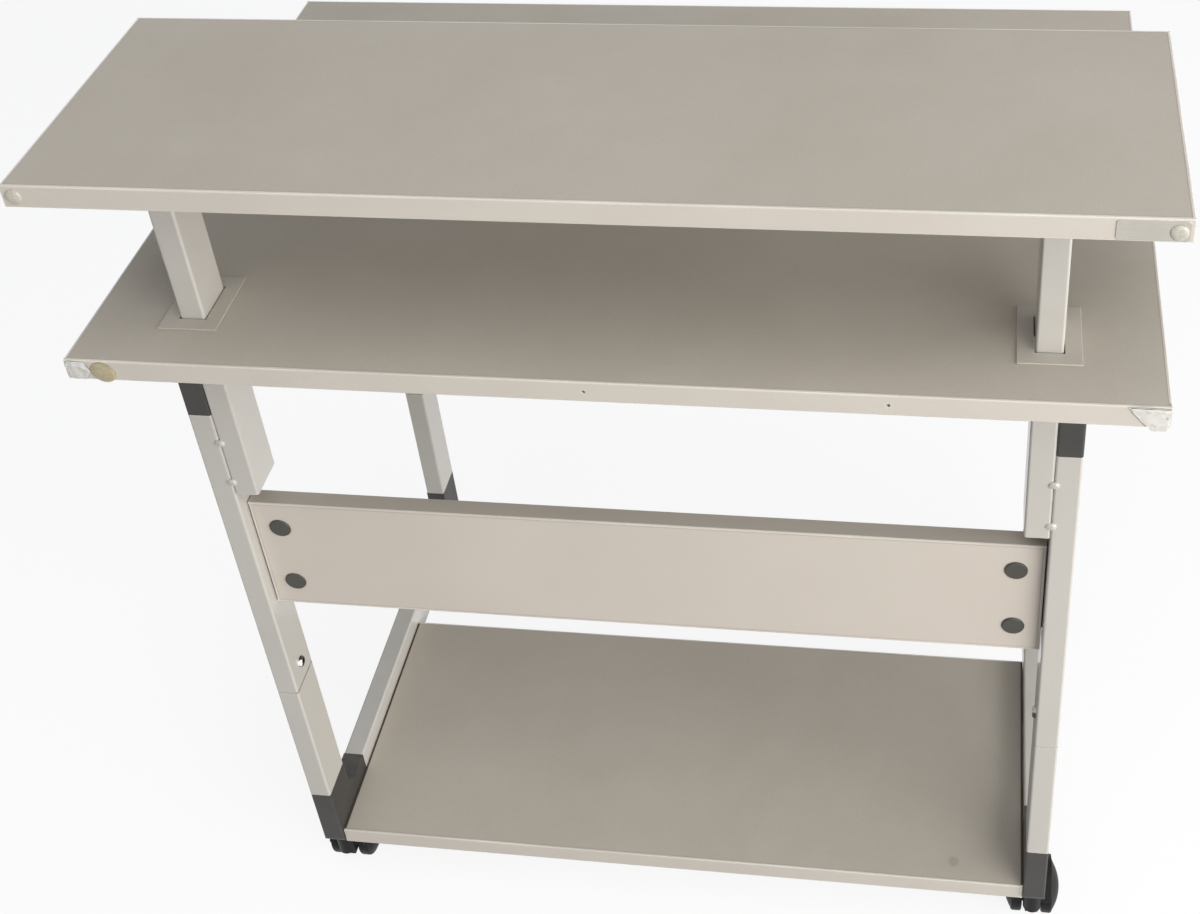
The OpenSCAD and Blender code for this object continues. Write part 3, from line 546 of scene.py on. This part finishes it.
# %% [markdown]
# ## Finish: castor plastics
# The castors are near black. Housings and wheels differ only in tone and gloss, so one function
# makes both. They roll in floor dust, and are dull where it lies: here the roughness follows
# the dust instead of the mottle.

# %% Castor plastics
def castor_finish(slot_name, tone, dust_amount, glossy, matt):
    """Near black plastic with floor dust on what looks up."""
    tree, shader = new_finish(slot_name, Metallic=0.0, Specular_IOR_Level=0.16)
    paler = [v + 7 for v in tone]
    base = tones(tree, tone, paler, patch=0.03, speck=0.001, specks=0.4)
    colour = rubbed_or_highlit(tree, base["Colour"], (104, 103, 99), width=0.001, amount=0.6, patch=0.03)
    dust = effect(tree, settled_dust, Amount=dust_amount, Patch_size=0.012)
    colour = blend_in(tree, dust["Mask"], colour, paint(96, 92, 85))
    surface(tree, shader, colour, dust["Mask"], glossy, matt)
    grained(tree, shader, size=0.0007, coarse=0.5, strength=0.3, depth=0.00012)


castor_finish("castor_plastic", (20, 20, 20), dust_amount=0.1, glossy=0.42, matt=0.7)
castor_finish("wheel_plastic", (16, 16, 17), dust_amount=0.14, glossy=0.46, matt=0.75)

# %% [markdown]
# ## Finish: trim plates
# The thin plates that lie on the worktop round the posts have the same taupe as its face, with
# a painted highlight on their rounded rim. Without that rim one couldn't tell plate from worktop.

# %% Trim plastic
tree, shader = new_finish("trim_plastic", Metallic=0.0)
base = tones(tree, (190, 183, 173), (182, 175, 163), patch=0.08, speck=0.001, specks=0.4)
# Painted highlight along the rim.
colour = rubbed_or_highlit(tree, base["Colour"], (222, 216, 205), width=0.0009, amount=0.9, patch=0.05)
surface(tree, shader, colour, base["Mask"], glossy=0.4, matt=0.5)
grained(tree, shader, size=0.0008, coarse=0.3, strength=0.2, depth=0.0001)

# %% [markdown]
# ## Finish: zinc
# Screws, stems and axles are zinc plated: a cool metal with cloudy spots of duller plating.
# Metallic is 1, so the two tones tint what it mirrors.

# %% Zinc plate
tree, shader = new_finish("zinc", Metallic=1.0)
base = tones(tree, (206, 207, 206), (176, 178, 178), patch=0.006, speck=0.0006, specks=0.3)
surface(tree, shader, base["Colour"], base["Mask"], glossy=0.26, matt=0.44)
grained(tree, shader, size=0.0005, coarse=0.4, strength=0.15, depth=0.00005)

# %% [markdown]
# ## Finish: badge metal
# The bare badge plate is brushed. Noise squeezed hard on Z gives lines along the plate, which
# tint it, change its gloss and catch the light. Its rim is dark where it sits on the edging.

# %% Brushed badge metal
tree, shader = new_finish("badge_metal", Metallic=1.0)
base = tones(tree, (206, 202, 194), (192, 187, 178), patch=0.02, speck=0.001, specks=0.2)
brush_lines = streaks(tree, (40.0, 40.0, 9000.0), detail=3.0)
brush_mask = ramp(tree, brush_lines, start=0.35, end=0.65)
colour = blend_in(tree, brush_mask, base["Colour"], paint(182, 177, 168))
colour = lined(tree, colour, (112, 108, 102), width=0.0007, amount=0.7)
surface(tree, shader, colour, brush_mask, glossy=0.32, matt=0.5)
bump(tree, shader, brush_lines, strength=0.25, depth=0.00004)

# %% [markdown]
# ## Finish: gel
# The stuck-on pads are soft clear gel that has yellowed at the left end of the worktop; light
# enters it a little, which Subsurface gives. Shade is painted on the upper and right side of each
# rim, found by the normal's direction, and more on the yellowed pad than on the clean ones.

# %% Gel
tree, shader = new_finish("gel", Metallic=0.0, IOR=1.45, Coat_Weight=0.6, Coat_Roughness=0.12,
                          Subsurface_Weight=0.3, Subsurface_Scale=0.004)
yellowed = near(tree, (-0.371, -0.28, 0.714), size=(0.03, 0.03, 0.03), ragged=0.3)
clear = tones(tree, (184, 180, 168), (203, 198, 186), patch=0.006, speck=0.002, specks=0.4)
aged = tones(tree, (168, 156, 120), (186, 175, 143), patch=0.008, speck=0.002, specks=0.3)
colour = blend_in(tree, yellowed, clear["Colour"], aged["Colour"])
# Painted shade on the rim, by the normal's direction.
up_and_right = share_along(tree, true_normal(tree), (0.5, 0.0, 0.85))
painted_rim_shade = times(tree, ramp(tree, up_and_right, start=0.22, end=0.62, high=0.75),
                   ramp(tree, yellowed, low=0.4, high=1.0))
colour = blend_in(tree, painted_rim_shade, colour, paint(112, 102, 78))
surface(tree, shader, colour, clear["Mask"], glossy=0.2, matt=0.34)

# %% [markdown]
# ## Finish: paper tape
# The tape is white paper. Shade is painted on its folds where they look up and to the left, and
# darker on its cut rim, and a painted highlight keeps its creases pale. The normal tells these
# apart, so the painted shade follows every fold of the mesh.

# %% Paper tape
tree, shader = new_finish("paper_tape", Metallic=0.0)
base = tones(tree, (224, 221, 216), (205, 203, 198), patch=0.008, speck=0.0008, specks=0.35)
# Painted highlight on the creases.
colour = rubbed_or_highlit(tree, base["Colour"], (236, 233, 228), width=0.0008, amount=0.6, patch=0.01)
# Painted shade on folds that look up and left, and on the cut rim.
up_and_left = share_along(tree, true_normal(tree), (-0.5, 0.0, 0.85))
fold_shade = ramp(tree, up_and_left, start=0.3, end=0.85, high=0.7)
colour = blend_in(tree, fold_shade, colour, paint(128, 122, 112))
cut_rim_shade = ramp(tree, looks_along(tree, "Y"), start=-0.35, end=-0.1, high=0.85)
colour = blend_in(tree, cut_rim_shade, colour, paint(92, 87, 78))
colour = marked(tree, colour, (124, 118, 110), (0.3972, -0.2795, 0.7140),
                size=(0.0012, 0.004, 0.0014), ragged=0.3, strength=0.5)
surface(tree, shader, colour, base["Mask"], glossy=0.6, matt=0.8)
grained(tree, shader, size=0.0009, coarse=0.6, strength=0.4, depth=0.0002)

# %% [markdown]
# ## Finish: bare tube steel
# Three nodes share a slot of the record with others but not a look, so their finishes have names
# of their own. The first is for the inner tubes that fill the seam between the legs: dull bare
# steel, its tone partly its own and partly painted shade, so that the seam reads as a dark line.

# %% Bare tube steel
tree, shader = new_finish("bare_steel_and_seam_shade", Metallic=0.85)
# Dark tone: partly dull bare steel, partly painted shade in the seam.
base = tones(tree, (104, 100, 94), (78, 75, 70), patch=0.02, speck=0.001, specks=0.4)
surface(tree, shader, base["Colour"], base["Mask"], glossy=0.42, matt=0.6)
grained(tree, shader, size=0.0009, coarse=0.4, strength=0.2, depth=0.0001)

# %% [markdown]
# ## Finish: blackened steel
# The clamp screws are blackened, with a near-white painted glint on each screw's end. Metallic
# drops to nothing under the glint, so that it reads white like scratched paint.

# %% Blackened steel
tree, shader = new_finish("blackened_steel")
base = tones(tree, (84, 83, 80), (62, 61, 60), patch=0.004, speck=0.0005, specks=0.4)
colour = rubbed_or_highlit(tree, base["Colour"], (196, 195, 191), width=0.0006, amount=1.0, patch=0.004)
metal = 1.0
# Painted glints: a near-white spot on each screw.
painted_glints = {
    "front left": ((-0.328, -0.2098, 0.3124), (0.05, 0.0038, 0.0036)),
    "front right": ((0.328, -0.2070, 0.3155), (0.05, 0.0036, 0.0020)),
    "both rear": ((0.0, 0.2092, 0.3110), (9.0, 0.0030, 0.0030)),
}
for place, size in painted_glints.values():
    glint = near(tree, place, size, ragged=0.2)
    colour = blend_in(tree, glint, colour, paint(250, 249, 244))
    metal = reckon(tree, "SUBTRACT", metal, glint, clamp=True)
tree.links.new(metal, shader["Metallic"])
surface(tree, shader, colour, base["Mask"], glossy=0.26, matt=0.4)
grained(tree, shader, size=0.0006, coarse=0.4, strength=0.15, depth=0.00005)

# %% [markdown]
# ## Finish: cap plastic
# The screw caps on the cross panel are moulded in a flatter, paler grey than the connectors. A
# cap is a shallow dome, and its rim is dark where it meets the panel: the joint line effect
# draws that, since a piece so thin casts hardly any shadow.

# %% Cap plastic
tree, shader = new_finish("cap_plastic", Metallic=0.0)
base = tones(tree, (67, 65, 58), (60, 58, 52), patch=0.012, speck=0.0008, specks=0.35)
colour = lined(tree, base["Colour"], (28, 26, 23), width=0.0026, amount=0.9)
colour = dusted(tree, colour, (128, 124, 116), amount=0.15, patch=0.008)
surface(tree, shader, colour, base["Mask"], glossy=0.44, matt=0.56)
grained(tree, shader, size=0.0006, coarse=0.4, strength=0.25, depth=0.0001)

# %% [markdown]
# ## Give every CAD node its finish
# The record names the material slot of each node. The same names are used for the finishes
# here, so one loop dresses the whole desk, and a short list names the nodes that differ.

# %% Dress the nodes
slot_of = {row["node"]: row["material_slot"] for row in frame["record"]["subparts"]}
own_finish = {
    "leg_inserts": "bare_steel_and_seam_shade",
    "clamp_screws": "blackened_steel",
    "panel_screw_caps": "cap_plastic",
}
for name, node in nodes.items():
    node.data.materials.clear()
    node.data.materials.append(finishes[own_finish.get(name, slot_of[name])])
print("dressed:", len(slot_of), "nodes in", len(finishes), "finishes")

# %% [markdown]
# ## Round the edges
# CAD edges are razor sharp, and a real edge always catches a thin line of light. A Bevel
# modifier rounds them without touching the mesh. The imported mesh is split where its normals
# change and cut into thin triangles, so a Weld joins it and a planar Decimate turns each flat
# face into one face first. Weighted normals then keep the flats flat and the curves smooth.
# Sizes differ: moulded plastic is rounder than cut steel.

# %% Round the edges
edge_radius = {
    "frame_steel": 0.0003, "connector_plastic": 0.0008, "board_laminate": 0.0002,
    "panel_laminate": 0.0002, "edging_plastic": 0.0002, "trim_plastic": 0.0004, "zinc": 0.0002,
    "badge_metal": 0.0002, "castor_plastic": 0.0006, "wheel_plastic": 0.0003,
}


def soften(piece, radius):
    """Weld, flat faces, bevel and weighted normals as modifiers."""
    weld = piece.modifiers.new("weld", "WELD")
    weld.merge_threshold = 1e-6
    flats = piece.modifiers.new("flats", "DECIMATE")
    flats.decimate_type = "DISSOLVE"
    flats.angle_limit = math.radians(0.5)
    bevel = piece.modifiers.new("round_edges", "BEVEL")
    bevel.width = radius
    bevel.segments = 2
    bevel.limit_method = "ANGLE"
    bevel.angle_limit = math.radians(35)
    normals = piece.modifiers.new("normals", "WEIGHTED_NORMAL")
    normals.weight = 80


for name, node in nodes.items():
    radius = edge_radius.get(slot_of[name])
    if radius:
        for face in node.data.polygons:
            face.use_smooth = True
        soften(node, radius)
print("softened with radii in mm:", {slot: radius * 1000 for slot, radius in edge_radius.items()})

# %% [markdown]
# ## Pieces that CAD leaves plain
# Weld metal, gel and crumpled tape have no flat faces or even curves, so the CAD holds only a
# simple solid for them. Here they are meshes made point by point. Each is a closed skin, gets
# the finish of the node that it belongs to, and rides on the same body as that node.

# %% A new piece
bodies = frame["record"]["behaviour"]["bodies"]
body_of = {name: body for body, names in bodies.items() for name in names}


def new_piece(name, corners, faces, node, smooth=True):
    """A closed mesh that belongs to a CAD node: same finish, same body."""
    mesh = bpy.data.meshes.new(name)
    mesh.from_pydata(corners, [], faces)
    shaped = bmesh.new()
    shaped.from_mesh(mesh)
    bmesh.ops.recalc_face_normals(shaped, faces=shaped.faces)
    shaped.to_mesh(mesh)
    shaped.free()
    for face in mesh.polygons:
        face.use_smooth = smooth
    mesh.materials.append(finishes[slot_of[node]])
    piece = bpy.data.objects.new(name, mesh)
    bpy.context.scene.collection.objects.link(piece)
    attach(piece, body_of[node])
    print(name, len(corners), "corners")
    return piece


def uneven(x, y, z, size):
    """A smooth random value, -1 to 1, that changes over about this size."""
    return noise.noise(Vector((x, y, z)) / size)


def wavy(x, y, seed, amount, size):
    """A factor that wanders round 1 by this amount."""
    return 1 + amount * uneven(x, y, seed, size)

# %% [markdown]
# ## Mounds
# A drop of weld metal and a gel pad are both a mound on a flat face. The mound is rings of
# points that close in on its middle: one rule says how far the outline reaches at each angle,
# another how far the skin stands out. A subdivision surface then rounds it.

# %% Mounds
mound_rings, mound_steps = 8, 36


def mound_faces(tip, back, base):
    """The rings' faces, then the tip, the flat back and the narrow wall between them."""
    faces = []
    last = (mound_rings - 1) * mound_steps
    for step in range(mound_steps):
        after = (step + 1) % mound_steps
        for outer in range(0, last, mound_steps):
            inner = outer + mound_steps
            faces.append((outer + step, outer + after, inner + after, inner + step))
        faces.append((last + step, last + after, tip))
        faces.append((back + after, back + step, base))
        faces.append((back + step, back + after, after, step))
    return faces


def mound(name, centre, reach, stand, node, bed=0.0):
    """A mound on a face that looks to -Y. bed is how far its back lies inside that face."""
    x, y, z = centre
    corners = []
    for ring in range(mound_rings):
        share = 1 - ring / mound_rings
        for step in range(mound_steps):
            angle = 2 * math.pi * step / mound_steps
            far = reach(angle) * share
            corners.append((x + far * math.cos(angle), y - stand(share, angle),
                            z + far * math.sin(angle)))
    tip, back = len(corners), len(corners) + 1
    corners.append((x, y - stand(0.0, 0.0), z))
    corners += [(rim_x, y + bed, rim_z) for rim_x, _, rim_z in corners[:mound_steps]]
    base = len(corners)
    corners.append((x, y + bed, z))
    piece = new_piece(name, corners, mound_faces(tip, back, base), node)
    piece.modifiers.new("rounded", "SUBSURF").render_levels = 1
    return piece

# %% [markdown]
# ## Weld beads on the fronts
# Each post is welded to the leg beside it with two short beads, powder-coated over. A welder's
# bead is never round: it has a flat side where the torch came in and a peak where it left.

# %% Weld beads on the fronts
tube_wide, tube_deep = 0.020, 0.040
leg_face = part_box("upper_leg_front_left")[0].y
leg_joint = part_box("base_tube_right")[1].x - tube_wide
bead_heights = (0.553, 0.596)
bead_bed = 0.0012


def bead_reach(seed):
    """An oval outline, wider than tall, a little ragged."""
    wide, tall = 0.0046, 0.0035

    def reach(angle):
        x, z = math.cos(angle), math.sin(angle)
        return math.hypot(wide * x, tall * z) * wavy(x, z, seed, amount=0.07, size=0.8)
    return reach


def bead_stand(seed):
    """Dome, flat on the left and peaked on the right, with ripples."""
    high, lean_by = 0.00195, 0.22

    def stand(share, angle):
        x, z = share * math.cos(angle), share * math.sin(angle)
        dome = math.sqrt(max(1 - share ** 2, 0))
        lean = 1 + lean_by * share * math.cos(angle)
        return high * dome * lean * wavy(x, z, seed, amount=0.14, size=0.45)
    return stand


for side, sign in (("left", -1), ("right", 1)):
    for row, height in enumerate(bead_heights):
        seed = 3.1 * row + 7.7 * sign
        mound("weld_bead_%s_%d" % (side, row + 1), (sign * leg_joint, leg_face, height),
              bead_reach(seed), bead_stand(seed), "post_" + side, bed=bead_bed)

# %% [markdown]
# ## A rippled seam
# Under the raised shelf, behind the cross panel and under the bottom shelf, flat steel is
# welded to the tubes with longer seams. A seam is a tube swept along a line, thin at both ends,
# and the ripples along it are the places where each drop of metal set.

# %% A rippled seam
seam_turn = 10
ripple_length, rings_per_ripple = 0.0026, 4
thin_end, taper_rings = 0.35, 3
drop_bulge, rough_bulge, rough_size = 0.10, 0.12, 0.003


def seam_corners(start, end, radius):
    """Rings of points along one line, and the count of steps between the rings."""
    length = (end - start).length
    along = (end - start).normalized()
    across = along.orthogonal().normalized()
    up = along.cross(across)
    count = max(int(length / (ripple_length / rings_per_ripple)), 4)
    corners = []
    for place in range(count + 1):
        middle = start.lerp(end, place / count)
        drop = math.sin(2 * math.pi * place * length / count / ripple_length)
        taper = min(1.0, thin_end + (1 - thin_end) * min(place, count - place) / taper_rings)
        bulge = 1 + drop_bulge * drop + rough_bulge * uneven(*middle, rough_size)
        for step in range(seam_turn):
            angle = 2 * math.pi * step / seam_turn
            outward = math.cos(angle) * across + math.sin(angle) * up
            corners.append(tuple(middle + radius * taper * bulge * outward))
    return corners, count


def weld_seams(name, lines, radius, node):
    """One piece with a rippled seam along each line, given as two end points."""
    corners, faces = [], []
    for start, end in lines:
        first = len(corners)
        made, count = seam_corners(Vector(start), Vector(end), radius)
        corners += made
        for ring in range(first, first + count * seam_turn, seam_turn):
            for step in range(seam_turn):
                a, b = ring + step, ring + (step + 1) % seam_turn
                faces.append((a, b, b + seam_turn, a + seam_turn))
        faces.append(tuple(first + step for step in reversed(range(seam_turn))))
        faces.append(tuple(first + count * seam_turn + step for step in range(seam_turn)))
    new_piece(name, corners, faces, node)

# %% [markdown]
# ## Weld seams out of sight
# The seams lie where the CAD's flat steel meets the tubes: round each post's top, down each
# bracket and along each tab. Their places come from the boxes of those nodes.

# %% Weld seams out of sight
def round_the_tube(x, y, z):
    """The four straight lines round a standing tube, short of its round corners."""
    w, d, corner = tube_wide / 2, tube_deep / 2, 0.002
    lines = [((x - w + corner, y + s * d, z), (x + w - corner, y + s * d, z)) for s in (-1, 1)]
    lines += [((x + s * w, y - d + corner, z), (x + s * w, y + d - corner, z)) for s in (-1, 1)]
    return lines


plate_bead, bracket_bead, tab_bead = 0.0017, 0.0015, 0.0014
head_plate_thick, bracket_thick, tab_depth = 0.003, 0.003, 0.0025
plate_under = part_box("post_right")[1].z - head_plate_thick
panel_low, panel_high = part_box("cross_panel")
bracket_margin = 0.012
bracket_back = panel_high.y + bracket_thick
bracket_ends = (panel_low.z + bracket_margin, panel_high.z - bracket_margin)
tab_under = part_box("bottom_shelf")[0].z - tab_depth
tab_joint, tab_half = leg_joint + 0.0006, 0.013
tab_middles = (leg_face + 0.115, leg_face + 0.225)
for side, sign in (("left", -1), ("right", 1)):
    post_x, post_y = sign * (leg_joint - tube_wide / 2), leg_face + tube_deep / 2
    down_bracket = [(sign * leg_joint, bracket_back, z) for z in bracket_ends]
    along_tabs = [[(sign * tab_joint, y + s * tab_half, tab_under) for s in (-1, 1)]
                  for y in tab_middles]
    weld_seams("head_plate_seams_" + side, round_the_tube(post_x, post_y, plate_under),
               plate_bead, "post_" + side)
    weld_seams("bracket_seam_" + side, [down_bracket], bracket_bead, "upper_leg_front_" + side)
    weld_seams("shelf_tab_seams_" + side, along_tabs, tab_bead, "base_tube_" + side)

# %% [markdown]
# ## Gel pads
# Three pads of clear gel are stuck on the front corners. They were cast round, have sagged a
# little and have a thin rim that clings to the edge. The big one has yellowed and slumped into
# an oval. The mounds stand in for the CAD's plain discs.

# %% Gel pads
pad_high = 0.0018


def pad_reach(wide, tall, tilt, seed):
    """An oval outline, turned by tilt, slightly uneven."""
    def reach(angle):
        turned = angle - tilt
        oval = wide * tall / math.hypot(tall * math.cos(turned), wide * math.sin(turned))
        return oval * wavy(math.cos(angle), math.sin(angle), seed, amount=0.025, size=0.7)
    return reach


def pad_stand(seed):
    """A low cushion that falls off steeply at its rim, with soft dents."""
    rim_high = 0.1

    def stand(share, angle):
        x, z = share * math.cos(angle), share * math.sin(angle)
        cushion = rim_high + (1 - rim_high) * (1 - share ** 3) ** 0.6
        return min(pad_high * cushion * wavy(x, z, seed, amount=0.10, size=0.5), pad_high)
    return stand


edge_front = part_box("worktop_edging")[0].y
badge_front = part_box("badge_plate")[0].y
# Each pad has its centre, its half width and half height, and its tilt.
pads = {
    "gel_pad_shelf_left": ((-0.3915, edge_front, 0.869), 0.0062, 0.0062, 0.0),
    "gel_pad_shelf_right": ((0.3905, badge_front, 0.868), 0.0062, 0.0062, 0.0),
    "gel_pad_worktop": ((-0.371, edge_front, 0.7127), 0.0104, 0.0094, math.radians(-30)),
}
for number, (name, (centre, wide, tall, tilt)) in enumerate(pads.items()):
    outline = pad_reach(wide, tall, tilt, 2.3 * number)
    pad = mound(name, centre, outline, pad_stand(5.1 * number), "gel_pads")
    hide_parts("gel_pads")

# %% [markdown]
# ## How tape crumples
# Bits of white paper tape were pressed over the worktop's front corners and have crumpled. The
# outline is filled with triangles, each inner point is pushed sideways and out by noise, and
# the triangles stay flat, as paper folds in flat facets with sharp creases.

# %% How tape crumples
def tape_sheet(outline, front):
    """The outline, a list of (x, z) points, filled with small triangles."""
    sheet = bmesh.new()
    sheet.faces.new([sheet.verts.new((x, front, z)) for x, z in outline])
    bmesh.ops.triangulate(sheet, faces=sheet.faces[:])
    bmesh.ops.subdivide_edges(sheet, edges=sheet.edges[:], cuts=3, use_grid_fill=True)
    bmesh.ops.beautify_fill(sheet, faces=sheet.faces[:], edges=sheet.edges[:])
    bmesh.ops.triangulate(sheet, faces=sheet.faces[:])
    return sheet


def crumple(sheet, front, low, high, seed):
    """Big and small folds between low and high; the rim lies flatter and keeps its outline."""
    big_fold, small_fold, small_share = 0.0048, 0.0021, 0.35
    push, push_size, rim_share = 0.0007, 0.002, 0.45
    for corner in sheet.verts:
        x, z = corner.co.x, corner.co.z
        fold = abs(uneven(x, z, seed, big_fold)) ** 0.7
        fold += small_share * abs(uneven(x, z, seed + 9, small_fold))
        if corner.is_boundary:
            fold *= rim_share
        else:
            corner.co.x += push * uneven(x, z, seed + 3, push_size)
            corner.co.z += push * uneven(x, z, seed + 6, push_size)
        corner.co.y = front - min(low + (high - low) * fold, high)


def close_back(sheet, front):
    """Walls from the rim back to the face that the tape is stuck on, and a flat back."""
    rim = [edge for edge in sheet.edges if edge.is_boundary]
    walls = bmesh.ops.extrude_edge_only(sheet, edges=rim)["geom"]
    for corner in (part for part in walls if isinstance(part, bmesh.types.BMVert)):
        corner.co.y = front
    bmesh.ops.holes_fill(sheet, edges=[edge for edge in sheet.edges if edge.is_boundary], sides=0)
    sheet.verts.index_update()

# %% [markdown]
# ## The bits of tape
# Their flat outlines were read off the photo against the 18 mm board. The left corner has one
# bit, the right corner a longer one with a strip folded over along its upper side.

# %% The bits of tape
# Each bit has the lowest and the highest that it stands off the edge, its seed and its outline.
tapes = {
    "tape_left": (0.0003, 0.0017, 1.7, [
        (-0.3997, 0.7090), (-0.3960, 0.7056), (-0.3855, 0.7056), (-0.3807, 0.7130),
        (-0.3835, 0.7215), (-0.3969, 0.7225), (-0.3997, 0.7195)]),
    "tape_right": (0.0003, 0.0012, 4.2, [
        (0.3707, 0.7224), (0.3722, 0.7204), (0.3800, 0.7105), (0.3878, 0.7020),
        (0.3968, 0.7022), (0.3997, 0.7065), (0.3997, 0.7224)]),
    "tape_right_fold": (0.0010, 0.0019, 6.4, [
        (0.3745, 0.7190), (0.3860, 0.7180), (0.3985, 0.7185), (0.3990, 0.7218), (0.3730, 0.7220)]),
}
for name, (low, high, seed, outline) in tapes.items():
    sheet = tape_sheet(outline, edge_front)
    crumple(sheet, edge_front, low, high, seed)
    close_back(sheet, edge_front)
    corners = [tuple(corner.co) for corner in sheet.verts]
    faces = [tuple(corner.index for corner in face.verts) for face in sheet.faces]
    sheet.free()
    tape = new_piece(name, corners, faces, "corner_tapes", smooth=False)
    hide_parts("corner_tapes")

# %% [markdown]
# ## Floor
# The photo shows the desk on white. The camera, and anything glossy, sees a floor that is part
# light of its own and part white paint, so it is near white and still takes a soft shadow.
# Other rays meet a plain grey floor, so the desk isn't lit from below by the trick. The Light
# Path node tells the two kinds of ray apart.

# %% Floor
def seen_by_eye(tree):
    """1 for rays from the camera, off gloss or through clear things, 0 for light on its way."""
    path = add(tree, "LightPath").outputs
    seen = reckon(tree, "MAXIMUM", path["Is Camera Ray"], path["Is Glossy Ray"])
    return reckon(tree, "MAXIMUM", seen, path["Is Transmission Ray"])


white = (1.0, 1.0, 1.0, 1.0)
floor_grey = (0.24, 0.225, 0.20, 1.0)
light_share = 0.88
left, right = -9, 9
floor_corners = [(left, left, 0), (right, left, 0), (right, right, 0), (left, right, 0)]
floor_mesh = bpy.data.meshes.new("studio_floor")
floor_mesh.from_pydata(floor_corners, [], [(0, 1, 2, 3)])
studio_floor = bpy.data.objects.new("studio_floor", floor_mesh)
bpy.context.scene.collection.objects.link(studio_floor)
floor_finish = bpy.data.materials.new("studio_floor")
floor_finish.use_nodes = True
tree = floor_finish.node_tree
tree.nodes.clear()
plain_floor = add(tree, "BsdfDiffuse", {"Color": floor_grey}).outputs[0]
white_paint = add(tree, "BsdfDiffuse", {"Color": white}).outputs[0]
white_light = add(tree, "Emission", {"Color": white, "Strength": 1.0}).outputs[0]
white_floor = add(tree, "MixShader", {0: light_share, 1: white_paint, 2: white_light}).outputs[0]
mixed = add(tree, "MixShader", {0: seen_by_eye(tree), 1: plain_floor, 2: white_floor}).outputs[0]
tree.links.new(mixed, tree.nodes.new("ShaderNodeOutputMaterial").inputs[0])
floor_mesh.materials.append(floor_finish)
print("floor:", right - left, "m wide")

# %% [markdown]
# ## Sky
# The world does as the floor does: white where it is seen, a dim and slightly blue daylight
# where it lights the desk.

# %% Sky
world = bpy.data.worlds.new("studio")
bpy.context.scene.world = world
world.use_nodes = True
tree = world.node_tree
tree.nodes.clear()
plain_sky = add(tree, "Background", {"Color": (0.86, 0.93, 1.0, 1.0), "Strength": 0.27}).outputs[0]
white_sky = add(tree, "Background", {"Color": white, "Strength": 1.0}).outputs[0]
mixed = add(tree, "MixShader", {0: seen_by_eye(tree), 1: plain_sky, 2: white_sky}).outputs[0]
tree.links.new(mixed, tree.nodes.new("ShaderNodeOutputWorld").inputs[0])
print("sky:", len(tree.nodes), "nodes")

# %% [markdown]
# ## Lamps
# Three broad lamps light the desk, mostly from the right as the photo's window does. Broad
# lamps give the soft shadow edges of a room.

# %% Lamps
def lamp(name, place, towards, size, power, colour):
    """A square soft lamp aimed at a point."""
    light = bpy.data.lights.new(name, "AREA")
    light.size = size
    light.energy = power
    light.color = colour
    made = bpy.data.objects.new(name, light)
    made.location = place
    made.rotation_euler = (Vector(towards) - Vector(place)).to_track_quat("-Z", "Y").to_euler()
    bpy.context.scene.collection.objects.link(made)
    print(name, power, "W from", place)


warm, neutral = (1.0, 0.985, 0.96), (1.0, 1.0, 1.0)
lamp("window_lamp", (2.2, -2.3, 1.2), (0, 0, 0.5), size=2.2, power=90, colour=warm)
lamp("side_lamp", (3.0, -0.4, 1.2), (0, 0, 0.5), size=2.0, power=46, colour=warm)
lamp("ceiling_lamp", (0.2, -1.2, 3.2), (0, 0, 0.4), size=2.2, power=34, colour=neutral)
bpy.context.scene.view_settings.view_transform = "Standard"
